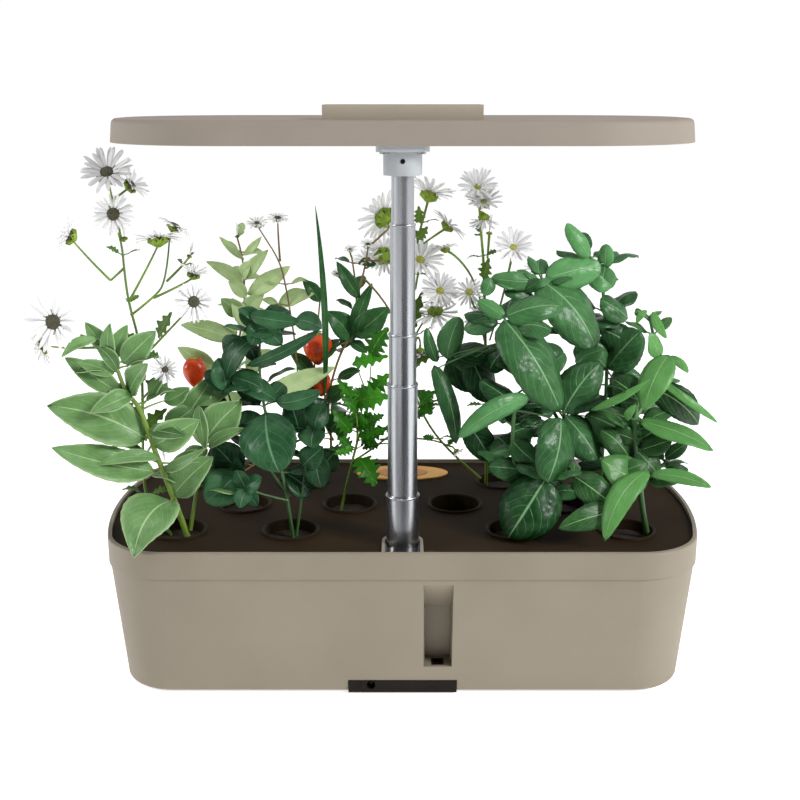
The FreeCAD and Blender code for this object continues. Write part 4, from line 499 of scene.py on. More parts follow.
            ((-21, -15, 137), 16, (0.35, -0.8, -0.4)),
        ],
    },
    "basil_near": {
        "basket": (1, -1),
        "stems": [
            [(1, 0, -5), (3, -2, 23), (-2, 1, 53), (-3, 3, 73), (-1, 5, 89)],
            [(9, -3, -8), (10, -9, 11), (19, -13, 34), (20, -15, 43)],
        ],
        "leaves": [
            ((19, -15, 43), (-7, -27, 5), 40, 0.1), ((29, -3, 82), (19, -21, 42), 32, 0.25),
            ((10, 3, 42), (-19, -5, 48), 18, 0.1), ((8, 3, 95), (-41, -13, 71), 15, 0.65),
            ((-1, 5, 89), (-25, 13, 104), 18, 0.1), ((-3, 1, 65), (13, -5, 51), 16, 0.25),
            ((-2, 1, 58), (-20, 9, 51), 11, 0.25), ((-3, 3, 70), (17, 9, 74), 16, 0.2),
            ((4, -1, 44), (16, 3, 57), 14, 0.3),
        ],
        "pairs": [
            (0, 0.4, 1, 5, 32, 23, 0.08), (1, 0.5, 1, 3, 26, 18, 0.15),
        ],
    },
    "basil_middle": {
        "basket": (1.5, 0),
        "stems": [
            [(0, 0, -5), (-1, -8, 29), (-2, -20, 63), (-4, -28, 78)],
            [(-2, -20, 63), (-24, -24, 100), (-41, -26, 129), (-47, -26, 145)],
            [(-8, -20, -11), (-7, -22, 11), (-3, -26, 57)],
        ],
        "leaves": [
            ((-47, -28, 144), (-9, -46, 84), 40, 0.2),
            ((-46, -27, 146), (-7, -20, 152), 21, 0.35),
            ((-4, -28, 78), (22, -18, 111), 29, 0.2), ((-3, -30, 76), (19, -44, 48), 27, 0.2),
            ((12, -26, 76), (61, -40, 43), 32, 0.45), ((-85, -8, 112), (-77, -14, 143), 18, 0.4),
            ((-92, -4, 109), (-100, -6, 134), 9, 0.25), ((-85, -8, 112), (-52, -4, 116), 21, 0),
            ((-95, -20, 110), (-79, -31, 56), 14, 0.1),
            ((-52, -24, 144), (-74, -18, 135), 14, 0.5),
            ((-41, -22, 125), (-55, -10, 103), 18, 0),
            ((-47, -26, 145), (-65, -20, 156), 11, 0.5), ((12, -24, 68), (-3, -10, 53), 14, 0.2),
            ((-85, -4, 110), (-56, 4, 89), 24, 0), ((-69, -8, 114), (-52, -2, 79), 24, 0),
            ((-71, -31, 70), (-55, -32, 44), 20, 0.05),
            ((-47, -14, 77), (-18, -8, 63), 19, 0.15),
            ((-6, -18, 105), (-20, -12, 124), 18, 0.1), ((-7, -16, 54), (-24, -10, 30), 17, 0.1),
        ],
        "pairs": [
            (0, 0.3, 1, 5, 38, 27, 0.05), (1, 0.3, 1, 4, 32, 22, 0.15),
            (2, 0.4, 1, 3, 28, 20, 0.05),
        ],
    },
    "basil_back": {
        "basket": (2, 1),
        "stems": [
            [(0, 0, -3), (-1, -9, 44), (-2, -17, 93), (-5, -19, 124), (-8, -19, 151),
             (-10, -19, 171), (-18, -19, 178)],
            [(-2, -17, 93), (-25, -23, 125), (-52, -29, 155), (-55, -31, 164)],
            [(-55, -31, 162), (-71, -33, 157), (-82, -37, 137)],
            [(-8, -19, 151), (-6, -17, 161), (-8, -17, 170)],
        ],
        "leaves": [
            ((-55, -33, 163), (-17, -49, 117), 38, 0.35),
            ((-52, -29, 164), (-10, -19, 172), 22, 0.7),
            ((-19, -19, 178), (-37, -19, 203), 12, 0.8),
            ((-8, -17, 170), (-7, -17, 188), 11, 0.75),
            ((-10, -17, 154), (-7, -19, 172), 18, 0.5),
            ((-13, -17, 170), (-8, -23, 153), 18, 0.6),
            ((-2, -19, 95), (19, -27, 125), 28, 0.15),
            ((-57, -31, 163), (-92, -37, 166), 13, 0.55),
            ((-92, -37, 166), (-97, -41, 154), 10, 0.5),
            ((-68, -35, 157), (-57, -39, 165), 9, 0.3),
            ((-60, -33, 149), (-82, -35, 156), 12, 0.3),
            ((-2, -17, 94), (-28, -23, 114), 22, 0.3), ((-7, -15, 81), (-26, -19, 75), 23, 0.3),
            ((0, -17, 86), (25, -23, 83), 20, 0.3), ((-1, -33, 90), (21, -39, 67), 24, 0.05),
            ((-28, -29, 102), (-8, -33, 112), 15, 0.4),
            ((-11, -23, 148), (11, -19, 133), 18, 0.3), ((-7, -23, 125), (17, -19, 109), 19, 0.1),
        ],
        "pairs": [
            (0, 0.25, 1, 6, 36, 24, 0.15), (1, 0.3, 1, 4, 30, 20, 0.25),
            (2, 0.4, 1, 2, 18, 12, 0.5),
        ],
    },
    "basil_right": {
        "basket": (2, -1),
        "stems": [
            [(16, 0, -8), (10, -3, 14), (8, 1, 36), (5, 7, 56), (4, 13, 76), (7, 17, 89)],
            [(4, 13, 76), (16, 23, 91), (24, 29, 108), (20, 31, 125), (16, 33, 141)],
            [(8, 1, 36), (19, 5, 42), (26, 7, 47)],
            [(8, 1, 36), (-14, -3, 41), (-38, -5, 41)],
        ],
        "leaves": [
            ((-40, -9, 43), (-11, -21, 23), 22, 0.2), ((12, -1, 34), (-21, -9, 54), 28, 0.55),
            ((-11, -19, 20), (-52, -33, 14), 18, 0.25), ((10, -13, 48), (-22, -39, 7), 18, 0.75),
            ((7, 9, 76), (56, -3, 59), 19, 0.75), ((15, 23, 98), (53, 29, 68), 22, 0.1),
            ((26, 7, 50), (42, 13, 59), 10, 0.1), ((26, 7, 42), (43, 9, 41), 7, 0.1),
            ((14, -3, 42), (56, -5, 33), 10, 0.7), ((28, 25, 119), (8, 3, 85), 23, 0.9),
            ((23, 29, 117), (14, 25, 135), 13, 0.9), ((17, 33, 148), (26, 25, 131), 7, 0.9),
            ((13, 33, 149), (6, 31, 140), 5, 0.9), ((9, 33, 145), (6, 35, 150), 6, 0.3),
            ((29, 27, 118), (43, 27, 106), 6, 0.9), ((-26, 13, 83), (12, 7, 106), 6, 0.95),
            ((-2, 9, 77), (3, 3, 90), 6, 0.9), ((8, 17, 89), (-10, 27, 102), 21, 0.1),
            ((4, 9, 63), (-12, 15, 67), 14, 0.1), ((8, 7, 56), (31, 13, 62), 15, 0.1),
            ((20, 25, 103), (64, 19, 72), 6, 0.85), ((9, 13, 62), (28, 17, 75), 17, 0.2),
            ((2, 9, 48), (-19, 13, 69), 21, 0.2), ((5, 7, 56), (22, 3, 37), 17, 0.15),
        ],
        "pairs": [
            (0, 0.3, 1, 5, 32, 18, 0.2), (1, 0.2, 1, 4, 24, 12, 0.5),
            (2, 0.4, 1, 2, 20, 10, 0.4), (3, 0.4, 1, 2, 26, 15, 0.3),
        ],
    },
}

# How each kind of plant grows: stem and twig radius, where a leaf is widest, how blunt it is,
# how far it arches and folds as a share of its length and width, and its teeth.
habits = {
    "lance_plant": (2.1, 0.8, 0.78, 0.8, 0.1, 0.25, 0),
    "daisy_left": (1.2, 0.5, 0.9, 0.9, 0.1, 0.2, 4),
    "round_leaf_plant": (1.4, 0.6, 0.9, 0.6, 0.12, 0.2, 0),
    "pale_plant": (1.1, 0.6, 0.9, 0.8, 0.1, 0.25, 0),
    "pepper_plant": (1.2, 0.6, 0.9, 0.75, 0.1, 0.2, 0),
    "cut_leaf_plant": (1.1, 0.6, 0.75, 0.7, 0.1, 0.2, 5),
    "daisy_right": (1.4, 0.6, 0.9, 0.9, 0.1, 0.2, 4),
    "basil_near": (2.0, 0.8, 0.85, 0.5, 0.1, -0.35, 0),
    "basil_middle": (1.8, 0.8, 0.85, 0.5, 0.1, -0.35, 0),
    "basil_back": (1.6, 0.8, 0.85, 0.5, 0.1, -0.35, 0),
    "basil_right": (2.2, 0.8, 0.82, 0.65, 0.12, -0.1, 0),
}

# Leaves of four plants are drawn broader than the widths above, by this share.
breadth = {
    "round_leaf_plant": 1.25, "pepper_plant": 1.2, "lance_plant": 1.08, "basil_back": 1.1,
}

# A leaf's foot is never quite a point. A toothed leaf has deep notches; any other is only wavy.
foot_breadth = 0.02
tooth_depth = 0.34
waviness = 0.025
waves = 9

# A leaf's stalk bows up by its rise, runs a little way into the blade, both in millimetres, and
# tapers. Paired leaves have shorter ones, a share of the leaf's length, and get smaller upwards.
stalk_rise = 1.5
stalk_inset = 3
pair_rise = 0.8
pair_inset = 2
pair_bare = 0.28
pair_shrink = 0.35
stalk_taper = (1, 0.8, 0.5)
leaf_thickness = 0.4 * MM
draw = random.Random(12)


def leaf_skin(name, dark, pale, rib, pairs, roughness, blister, edge=0.0):
    """Leaf skin: paler by its shade, with a midrib and slanting veins from its own map."""
    blotch_size = 9 * MM
    quilt_size = 4 * MM
    material, tree, shader, place = start(name, roughness, Specular_IOR_Level=0.25)
    split = add(tree, "SeparateXYZ", links={"Vector": add(tree, "UVMap").outputs["UV"]})
    off_middle = add(tree, "Math", {"operation": "SUBTRACT", 1: 0.5}, {0: split.outputs["X"]})
    across = add(tree, "Math", {"operation": "ABSOLUTE"}, {0: off_middle.outputs[0]})
    midrib = add(tree, "MapRange", {"interpolation_type": "SMOOTHSTEP", "From Min": 0.008,
                                    "From Max": 0.03, "To Min": 0.65, "To Max": 0},
                 {"Value": across.outputs[0]})
    curve = add(tree, "Math", {"operation": "MULTIPLY_ADD", 1: -1.3, 2: -0.45},
                {0: across.outputs[0]})
    slant = add(tree, "Math", {"operation": "MULTIPLY_ADD"},
                {0: across.outputs[0], 1: curve.outputs[0], 2: split.outputs["Y"]})
    blotch = add(tree, "TexNoise", {"Scale": 1 / blotch_size, "Detail": 3}, {"Vector": place})
    stray = add(tree, "Math", {"operation": "MULTIPLY_ADD", 1: 0.09},
                {0: blotch.outputs["Fac"], 2: slant.outputs[0]})
    pitch = add(tree, "Math", {"operation": "MULTIPLY", 1: pairs}, {0: stray.outputs[0]})
    fold = add(tree, "Math", {"operation": "PINGPONG", 1: 0.5}, {0: pitch.outputs[0]})
    veins = add(tree, "MapRange", {"interpolation_type": "SMOOTHSTEP", "From Min": 0.01,
                                   "From Max": 0.07, "To Min": 0.2, "To Max": 0},
                {"Value": fold.outputs[0]})
    lines = add(tree, "Math", {"operation": "MAXIMUM"}, {0: midrib.outputs["Result"],
                                                         1: veins.outputs["Result"]})
    # The shade attribute mixes each leaf's own tone with painted shade and light: leaves deep in
    # the bush are painted darker.
    shade = add(tree, "Attribute", {"attribute_name": "shade"})
    tone = add(tree, "Math", {"operation": "MULTIPLY_ADD", 1: 0.5},
               {0: blotch.outputs["Fac"], 2: shade.outputs["Fac"]})
    shift = add(tree, "Math", {"operation": "SUBTRACT", 1: 0.25, "use_clamp": True},
                {0: tone.outputs[0]})
    blade = add(tree, "Mix", {"data_type": "RGBA", 6: linear(dark), 7: linear(pale)},
                {0: shift.outputs[0]})
    margin = add(tree, "MapRange", {"From Min": 0.4, "From Max": 0.5, "To Min": 0,
                                    "To Max": edge}, {"Value": across.outputs[0]})
    marks = add(tree, "Math", {"operation": "MAXIMUM"},
                {0: lines.outputs[0], 1: margin.outputs["Result"]})
    colour = add(tree, "Mix", {"data_type": "RGBA", 7: linear(rib)},
                 {0: marks.outputs[0], 6: blade.outputs[2]})
    tree.links.new(colour.outputs[2], shader.inputs["Base Color"])
    quilt = add(tree, "TexVoronoi", {"Scale": 1 / quilt_size, "feature": "SMOOTH_F1"},
                {"Vector": place})
    puff = add(tree, "Math", {"operation": "SUBTRACT"},
               {0: blotch.outputs["Fac"], 1: quilt.outputs["Distance"]})
    relief = add(tree, "Math", {"operation": "MULTIPLY_ADD", 1: -1.2},
                 {0: lines.outputs[0], 2: puff.outputs[0]})
    bump = add(tree, "Bump", {"Strength": 0.8, "Distance": blister * MM},
               {"Height": relief.outputs[0]})
    tree.links.new(bump.outputs["Normal"], shader.inputs["Normal"])
    return material


def blade(mesh, base, tip, width, shade, habit, towards=front):
    """One leaf: a grid drawn out to its outline, folded at the midrib and arched."""
    _, _, widest, blunt, arch, fold, teeth = habit
    notch = tooth_depth if teeth else waviness
    reach = tip - base
    side = reach.cross(towards).normalized()
    side.rotate(Matrix.Rotation(draw.uniform(-0.4, 0.4), 3, reach.normalized()))
    rise = side.cross(reach).normalized()
    bow = arch * reach.length * draw.uniform(0.6, 1.6)
    lean = draw.uniform(-0.08, 0.08) * reach.length
    curl = draw.uniform(-0.25, 0.25)
    phase = draw.uniform(0, 6)
    shade_layer = mesh.verts.layers.float["shade"]
    uv_layer = mesh.loops.layers.uv["leaf"]
    made = bmesh.ops.create_grid(mesh, x_segments=6, y_segments=36 if teeth else 18,
                                 size=1)["verts"]
    for face in {face for vert in made for face in vert.link_faces}:
        for loop in face.loops:
            loop[uv_layer].uv = (loop.vert.co.x / 2 + 0.5, loop.vert.co.y / 2 + 0.5)
    for vert in made:
        across = vert.co.x
        along = vert.co.y / 2 + 0.5
        half = width / 2 * math.sin(math.pi * along ** widest) ** blunt
        half = max(half, foot_breadth * width * (1 - along))
        half *= 1 + notch * math.cos(2 * math.pi * (teeth or waves) * along + 1)
        wave = 0.05 * width * abs(across) * math.sin(waves * along + phase)
        vert.co = (base + reach * along
                   + side * (across * half + lean * 4 * along * (1 - along))
                   + rise * (bow * 4 * along * (1 - along) + fold * half * abs(across) ** 1.5
                             + curl * half * across + wave))
        vert[shade_layer] = shade
        vert.normal_update()


def nearest(spot, routes):
    """The nearest place to a point on a plant's stems."""
    found = []
    for route in routes:
        for low, high in zip(route, route[1:]):
            at, share = intersect_point_line(spot, low, high)
            found.append(low.lerp(high, min(max(share, 0), 1)))
    return min(found, key=lambda place: (place - spot).length)


def along_route(route, share):
    """The point of a route that lies a share of its points along it."""
    at = share * (len(route) - 1)
    index = min(int(at), len(route) - 2)
    return route[index].lerp(route[index + 1], at - index)


def make_piece(mesh, name, material):
    """A finished bmesh made into a smooth piece of one material."""
    data = bpy.data.meshes.new(name)
    mesh.to_mesh(data)
    mesh.free()
    piece = bpy.data.objects.new(name, data)
    bpy.context.collection.objects.link(piece)
    data.shade_smooth()
    data.materials.append(material)
    return piece


def thicken(piece, thickness):
    """Give a sheet its thickness, half to each side."""
    wall = piece.modifiers.new("thickness", "SOLIDIFY")
    wall.thickness = thickness
    wall.offset = 0


def basket_mouth(column, row):
    """The middle of a basket's mouth, from its place in the rows."""
    return Vector((column * hole_pitch, row * row_pitch, deck_top))


def settle(piece, label, *replaced):
    """A plant's piece rides on the base; the parts it replaces are hidden."""
    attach(piece, "base")
    if replaced:
        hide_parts(*replaced)
    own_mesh(piece)


# Leaf skins by plant: living leaf with a thin waxy coat, which gives a soft gloss. Basil is dark
# and blistered with pale veins, and the lance plant is grey-green with cream edges. The number
# after the colours is how many pairs of side veins a leaf has.
basil_skin = leaf_skin("basil_leaf", "0E3616", "5C985A", "86AE7E", 6, 0.33, 0.6)
skins = {
    "lance_plant": leaf_skin("cream_edged_leaf", "1A441A", "86B26E", "B4CF9C", 8, 0.34, 0.4,
                             edge=0.6),
    "daisy_left": leaf_skin("daisy_leaf", "234A10", "6F9433", "8DB052", 5, 0.45, 0.4),
    "round_leaf_plant": leaf_skin("dark_waxy_leaf", "0C3218", "55905E", "6B9272", 6, 0.34, 0.25),
    "pale_plant": leaf_skin("yellow_green_leaf", "3F6B28", "C3DA9C", "D6E6B8", 6, 0.42, 0.3),
    "pepper_plant": leaf_skin("pepper_leaf", "0E3818", "4F8A48", "7CA672", 6, 0.32, 0.4),
    "cut_leaf_plant": leaf_skin("bright_cut_leaf", "123C06", "3F9416", "6AB03A", 5, 0.4, 0.5),
    "daisy_right": leaf_skin("daisy_leaf_right", "234A10", "6F9433", "8DB052", 5, 0.45, 0.4),
    "basil_near": basil_skin, "basil_middle": basil_skin, "basil_back": basil_skin,
    "basil_right": leaf_skin("young_basil_leaf", "0B3014", "5A934C", "90BC7E", 7, 0.36, 0.5),
}

# Stem skins, streaked lengthwise: green and sappy, or brown where the stem turns to wood.
stem_skins = {
    "green": grained("green_stem_skin", "46641C", "7C9A38", 0.42, 14, 0.8, 0.1, (1, 1, 0.2)),
    "dark": grained("dark_green_stem_skin", "24451E", "4A7340", 0.42, 14, 0.8, 0.1, (1, 1, 0.2)),
    "brown": grained("woody_stem_skin", "6A4B32", "8A7A3C", 0.5, 12, 0.8, 0.12, (1, 1, 0.2)),
}
stem_kinds = {"pale_plant": "brown", "pepper_plant": "brown", "round_leaf_plant": "dark",
              "basil_near": "dark", "basil_middle": "dark", "basil_back": "dark",
              "basil_right": "dark"}
leaf_slots = {"lance_plant": "pale_leaf", "pale_plant": "pale_leaf", "daisy_left": "stem_green",
              "daisy_right": "stem_green", "cut_leaf_plant": "bright_leaf"}
flower_spots = {"left": [], "right": []}
for label, plant in plants.items():
    mouth = basket_mouth(*plant["basket"])
    stem_radius, twig_radius = (value * MM for value in habits[label][:2])
    stalk_radii = [twig_radius * share for share in stalk_taper]
    routes = [[mouth + Vector(point) * MM for point in points] for points in plant["stems"]]
    curve = tube_curve(label + "_route", 2)
    for order, route in enumerate(routes):
        thick = stem_radius if order == 0 else 0.75 * stem_radius
        radii = [thick * (1 - 0.5 * index / len(route)) for index in range(len(route))]
        run(curve, route, radii)
    mesh = bmesh.new()
    mesh.verts.layers.float.new("shade")
    mesh.loops.layers.uv.new("leaf")
    for base, tip, width, shade in plant["leaves"]:
        leaf_base = mouth + Vector(base) * MM
        leaf_tip = mouth + Vector(tip) * MM
        foot = nearest(leaf_base, routes)
        bend = (foot + leaf_base) / 2 + Vector((0, 0, stalk_rise * MM))
        reach = (leaf_tip - leaf_base).normalized() * stalk_inset * MM
        run(curve, [foot, bend, leaf_base + reach], stalk_radii)
        blade(mesh, leaf_base, leaf_tip, breadth.get(label, 1) * width * MM,
              shade + draw.uniform(-0.08, 0.08), habits[label])
    # The paired fill leaves' shade values are partly painted shade for leaves inside the bush.
    for order, low, high, count, length, width, shade in plant["pairs"]:
        for index in range(count):
            share = low + (high - low) * (index + draw.uniform(0, 0.5)) / max(count - 1, 1)
            foot = along_route(routes[order], min(share, 1))
            spin = index * math.pi / 2 + draw.uniform(-0.5, 0.5)
            size = (1 - pair_shrink * share) * draw.uniform(0.8, 1.15) * MM
            for turn in (spin, spin + math.pi + draw.uniform(-0.3, 0.3)):
                away = Vector((math.cos(turn), math.sin(turn), draw.uniform(-0.25, 0.6)))
                if away.y < -0.3:
                    away.y *= -0.7
                away.normalize()
                leaf_base = foot + away * pair_bare * length * size
                leaf_tip = foot + away * (1 + pair_bare) * length * size
                bend = (foot + leaf_base) / 2 + Vector((0, 0, pair_rise * MM))
                run(curve, [foot, bend, leaf_base + away * pair_inset * MM], stalk_radii)
                blade(mesh, leaf_base, leaf_tip, width * size, shade + draw.uniform(-0.1, 0.15),
                      habits[label], Vector((away.x * -0.4, away.y * -0.4 - 0.3, 0.9)))
    for middle, radius, facing in plant.get("heads", []):
        spot = mouth + Vector(middle) * MM
        away = Vector(facing).normalized()
        foot = nearest(spot - away * radius * MM * 0.3, routes)
        neck = spot - away * min(12 * MM, (spot - foot).length * 0.5 + 1 * MM)
        run(curve, [foot, (foot + neck) / 2, neck, spot - away * 1 * MM],
            [0.7 * stem_radius] * 2 + [0.6 * stem_radius] * 2)
        flower_spots["left" if mouth.x < 0 else "right"].append((spot, radius * MM, away))
    stems = keep_mesh(label + "_stems", curve)
    stems.data.materials.append(stem_skins[stem_kinds.get(label, "green")])
    settle(stems, leaf_slots.get(label, "dark_leaf"))
    bmesh.ops.recalc_face_normals(mesh, faces=mesh.faces)
    leaves = make_piece(mesh, label + "_leaves", skins[label])
    thicken(leaves, leaf_thickness)
    settle(leaves, leaf_slots.get(label, "dark_leaf"), label)

# Flower heads: white ray petals in two whorls round a domed olive eye, on a small green cup.
# A closed bud has its cup, a small eye and a few short petals that stand up.
bud_radius = 4.5 * MM
wide_radius = 14 * MM
wide_rays = 26
small_rays = 19
bud_rays = 7
eye_flatness = 0.55
petal_thickness = 0.25 * MM


def petal_skin():
    """Thin petals: white with grey streaks along them, and some light through them."""
    material, tree, shader, _ = start("white_ray_petal", 0.55, Subsurface_Weight=0.4,
                                      Subsurface_Radius=(3 * MM, 3 * MM, 3 * MM))
    lengthwise = add(tree, "Mapping", {"Scale": (14, 1.2, 1)},
                     {"Vector": add(tree, "UVMap").outputs["UV"]})
    streaks = add(tree, "TexNoise", {"Scale": 1.4, "Detail": 2},
                  {"Vector": lengthwise.outputs["Vector"]})
    shade = add(tree, "Attribute", {"attribute_name": "shade"})
    tone = add(tree, "Math", {"operation": "MULTIPLY_ADD", 1: 0.5, "use_clamp": True},
               {0: streaks.outputs["Fac"], 2: shade.outputs["Fac"]})
    colour = add(tree, "Mix", {"data_type": "RGBA", 6: linear("B4B0B4"), 7: linear("FFFFFF")},
                 {0: tone.outputs[0]})
    tree.links.new(colour.outputs[2], shader.inputs["Base Color"])
    bump = add(tree, "Bump", {"Strength": 0.5, "Distance": 0.3 * MM},
               {"Height": streaks.outputs["Fac"]})
    tree.links.new(bump.outputs["Normal"], shader.inputs["Normal"])
    return material


def petal(mesh, turn, length, width, lift, droop, shade):
    """One ray petal on a head that faces up at the origin, narrow at its foot."""
    foot_share = 0.12
    tip_share = 0.28
    shade_layer = mesh.verts.layers.float["shade"]
    uv_layer = mesh.loops.layers.uv["leaf"]
    made = bmesh.ops.create_grid(mesh, x_segments=2, y_segments=7, size=1)["verts"]
    for face in {face for vert in made for face in vert.link_faces}:
        for loop in face.loops:
            loop[uv_layer].uv = (loop.vert.co.x / 2 + 0.5, loop.vert.co.y / 2 + 0.5)
    for vert in made:
        across = vert.co.x
        along = vert.co.y / 2 + 0.5
        half = width / 2 * (0.4 + 0.6 * min(1, 2 * along))
        half *= math.sqrt(max(0.1, 1 - max(0, (along - 1 + tip_share) / tip_share) ** 2))
        reach = foot_share * length + (1 - foot_share) * length * along
        height = reach * math.tan(lift) - droop * length * along ** 2 + 0.3 * half * across ** 2
        vert.co = Vector((across * half, reach * math.cos(lift), height))
        vert.co.rotate(Matrix.Rotation(turn, 3, "Z"))
        vert[shade_layer] = shade
    return made


# An eye is a dome of tiny florets, so it is matt and knobbly. Those on the left are browner.
petal_white = petal_skin()
eye_share = {"left": 0.32, "right": 0.26}
eyes = {"left": grained("brown_flower_eye", "2C2B1C", "55523A", 0.75, 1.1, 0.7, 0.6),
        "right": grained("yellow_green_flower_eye", "6F7420", "B3B352", 0.7, 1.1, 0.7, 0.5)}
cup_green = grained("green_flower_cup", "5E8212", "93AE2E", 0.5, 3, 0.6, 0.15)
for plant_side, spots in flower_spots.items():
    parts = {"petals": bmesh.new(), "eyes": bmesh.new(), "cups": bmesh.new()}
    for layers in parts.values():
        layers.verts.layers.float.new("shade")
        layers.loops.layers.uv.new("leaf")
    for spot, radius, away in spots:
        facing = Matrix.Translation(spot) @ away.to_track_quat("Z", "Y").to_matrix().to_4x4()
        open_head = radius > bud_radius
        eye = radius * eye_share[plant_side] if open_head else radius * 0.5
        lift = draw.uniform(0.1, 0.45) if open_head else 1.2
        head_shade = draw.uniform(0.2, 0.6)
        count = wide_rays if radius > wide_radius else small_rays if open_head else bud_rays
        rays = []
        for index in range(count):
            turn = 2 * math.pi * (index + draw.uniform(-0.25, 0.25)) / count
            rays += petal(parts["petals"], turn, radius * draw.uniform(0.84, 1),
                          radius * draw.uniform(0.11, 0.16), lift + (index % 2) * 0.12,
                          draw.uniform(0, 0.25), head_shade + draw.uniform(-0.15, 0.15))
        bmesh.ops.transform(parts["petals"], matrix=facing, verts=rays)
        dome = bmesh.ops.create_icosphere(parts["eyes"], subdivisions=3, radius=eye)["verts"]
        for vert in dome:
            swell = 1 + 0.12 * noise.noise(vert.co * 1.6 / MM)
            vert.co = Vector((vert.co.x * swell, vert.co.y * swell,
                              vert.co.z * eye_flatness * swell))
        bmesh.ops.transform(parts["eyes"], matrix=facing, verts=dome)
        cup = bmesh.ops.create_cone(parts["cups"], cap_ends=True, cap_tris=True, segments=14,
                                    radius1=0.25 * eye, radius2=1.25 * eye,
                                    depth=0.9 * eye)["verts"]
        for vert in cup:
            vert.co.z -= 0.5 * eye
            if vert.co.z > -0.2 * eye:
                vert.co.z += 0.3 * eye * math.sin(7 * math.atan2(vert.co.y, vert.co.x))
        bmesh.ops.transform(parts["cups"], matrix=facing, verts=cup)
    for kind, material in (("petals", petal_white), ("eyes", eyes[plant_side]),
                           ("cups", cup_green)):
        bmesh.ops.recalc_face_normals(parts[kind], faces=parts[kind].faces)
        piece = make_piece(parts[kind], "flower_%s_%s" % (kind, plant_side), material)
        if kind == "petals":
            thicken(piece, petal_thickness)
            settle(piece, "petals", "daisy_heads_" + plant_side)
        else:
            settle(piece, "petals")

# Peppers: small lantern-shaped fruits in waxy orange-red skin, each under a green cap.
# Two hang on the pepper plant and one on the twig of the pale plant.
pepper_wax = grained("waxy_pepper_skin", "A8240A", "D8501A", 0.25, 9, 2.0, 0.1)

# Each fruit is its basket's place, its middle in millimetres from the basket's mouth, its radius
# and how much taller than round it is.
fruits = [((-1, 1), (15, -19, 110), 13, 1.0), ((-1, 1), (17, -17, 83), 8, 1.35),
          ((-2, 1), (1, -23, 93), 10, 1.25)]
skin_mesh = bmesh.new()
cap_mesh = bmesh.new()
for basket, middle, radius, tall in fruits:
    spot = basket_mouth(*basket) + Vector(middle) * MM
    made = bmesh.ops.create_uvsphere(skin_mesh, u_segments=24, v_segments=16,
                                     radius=radius * MM)["verts"]
    for vert in made:
        turn = math.atan2(vert.co.y, vert.co.x)
        height = vert.co.z / (radius * MM)
        lobes = 1 + 0.1 * math.cos(3 * turn + 1) * (1 - height * height)
        taper = 0.86 + 0.26 * height - 0.14 * height * height
        dent = 0.82 if height > 0.93 else 1
        vert.co = Vector((vert.co.x * lobes * taper, vert.co.y * lobes * taper,
                          vert.co.z * tall * dent)) * 0.95
    bmesh.ops.translate(skin_mesh, vec=spot, verts=made)
    cap = bmesh.ops.create_cone(cap_mesh, cap_ends=True, cap_tris=True, segments=15,
                                radius1=0.45 * radius * MM, radius2=0.1 * radius * MM,
                                depth=0.3 * radius * MM)["verts"]
    bmesh.ops.translate(cap_mesh, vec=spot + Vector((0, 0, 0.85 * radius * tall * MM)), verts=cap)
settle(make_piece(skin_mesh, "pepper_skins", pepper_wax), "pepper_skin", "pepper_fruits")
settle(make_piece(cap_mesh, "pepper_caps", cup_green), "pepper_skin")

# Studio: a pale floor that runs out of view, a pale sky, and three soft boxes.
# The floor glows a little, so that it stays as white as the photograph's ground.
floor_reach = 6
floor_mesh = bmesh.new()
bmesh.ops.create_grid(floor_mesh, x_segments=1, y_segments=1, size=floor_reach)
pale_card = grained("pale_studio_card", "F2F2F1", "F5F5F4", 0.8, 400, 3, 0.02,
                    Emission_Color=linear("FFFFFF"), Emission_Strength=0.7)
studio_floor = make_piece(floor_mesh, "studio_floor", pale_card)

# Cards lie on the floor in front of the tank, for the steel and the leaves to mirror: a dark one
# that widens away from the mast, and a grey one on its left. They are seen in reflections only.
# Each has its near and far edge in metres, and its left and right edge as a share of those.
card_height = 0.002
for name, shade, near, far, left, right in (("dark_card", "17181B", -0.3, -2.3, -0.15, 0.9),
                                            ("grey_card", "6E6F72", -0.3, -0.75, -1.2, -0.15)):
    card_mesh = bmesh.new()
    for vert in bmesh.ops.create_grid(card_mesh, x_segments=1, y_segments=1, size=1)["verts"]:
        y = near if vert.co.y > 0 else far
        vert.co = Vector(((right if vert.co.x > 0 else left) * -y, y, card_height))
    card = make_piece(card_mesh, name, grained(name + "_paint", shade, shade, 0.8, 200, 3, 0.02))
    for ray in ("camera", "diffuse", "shadow", "transmission", "volume_scatter"):
        setattr(card, "visible_" + ray, False)

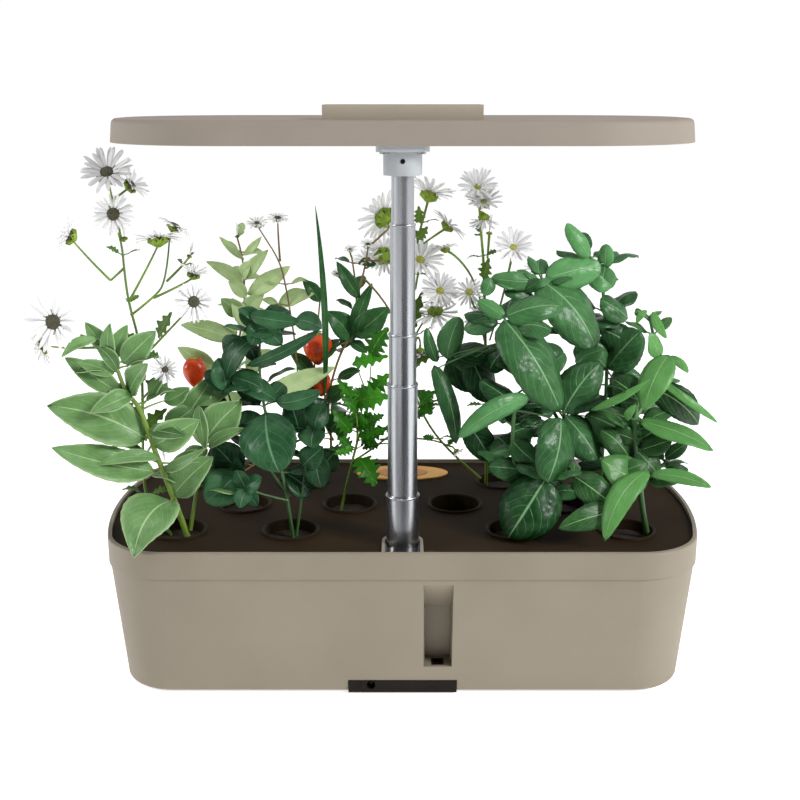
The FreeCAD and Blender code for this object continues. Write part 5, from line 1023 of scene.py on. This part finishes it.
# The sky is bright behind the object, dim in front of it and dimmer overhead, which shapes the
# shading of the beige sides. Where the camera sees it, it is plain white.
world = bpy.data.worlds.new("pale_studio")
world.use_nodes = True
sky = world.node_tree
heading = add(sky, "SeparateXYZ", links={"Vector": add(sky, "TexCoord").outputs["Generated"]})
glow = add(sky, "MapRange", {"interpolation_type": "SMOOTHSTEP", "From Min": -0.75,
                             "From Max": 0.15, "To Min": 0.1, "To Max": 1.02},
           {"Value": heading.outputs["Y"]})
ceiling = add(sky, "MapRange", {"interpolation_type": "SMOOTHSTEP", "From Min": 0.12,
                                "From Max": 0.6, "To Min": 1, "To Max": 0.4},
              {"Value": heading.outputs["Z"]})
lit = add(sky, "Math", {"operation": "MULTIPLY"}, {0: glow.outputs["Result"],
                                                   1: ceiling.outputs["Result"]})
seen = add(sky, "Math", {"operation": "MAXIMUM"},
           {0: lit.outputs[0], 1: add(sky, "LightPath").outputs["Is Camera Ray"]})
background = sky.nodes["Background"]
background.inputs["Color"].default_value = linear("FFFFFF")
sky.links.new(seen.outputs[0], background.inputs["Strength"])
bpy.context.scene.world = world

# Three square soft boxes aim at the middle of the plants: place and width in metres, and watts.
aim = Vector((0, 0, 0.16))
for name, spot, width, power in (("key_box", (1.3, -0.9, 1.1), 0.5, 30),
                                 ("side_box", (-1.4, -0.3, 0.7), 0.4, 8),
                                 ("top_box", (-0.3, -0.2, 1.6), 0.6, 6)):
    lamp = bpy.data.lights.new(name, "AREA")
    lamp.shape = "SQUARE"
    lamp.size = width
    lamp.energy = power
    holder = bpy.data.objects.new(name, lamp)
    holder.location = spot
    holder.rotation_euler = (aim - Vector(spot)).to_track_quat("-Z", "Y").to_euler()
    bpy.context.collection.objects.link(holder)

# The camera stands where the photograph was taken from.
picture_width = 800
focal_pixels = 1160
camera_pitch = 14.77
lens = bpy.data.cameras.new("photo_camera")
lens.sensor_width = 36
lens.lens = lens.sensor_width * focal_pixels / picture_width
camera = bpy.data.objects.new("photo_camera", lens)
camera.location = (-0.0017, -0.811, 0.3972)
camera.rotation_euler = (math.radians(90 - camera_pitch), 0, 0)
bpy.context.collection.objects.link(camera)
bpy.context.scene.camera = camera
bpy.context.scene.view_settings.view_transform = "Standard"
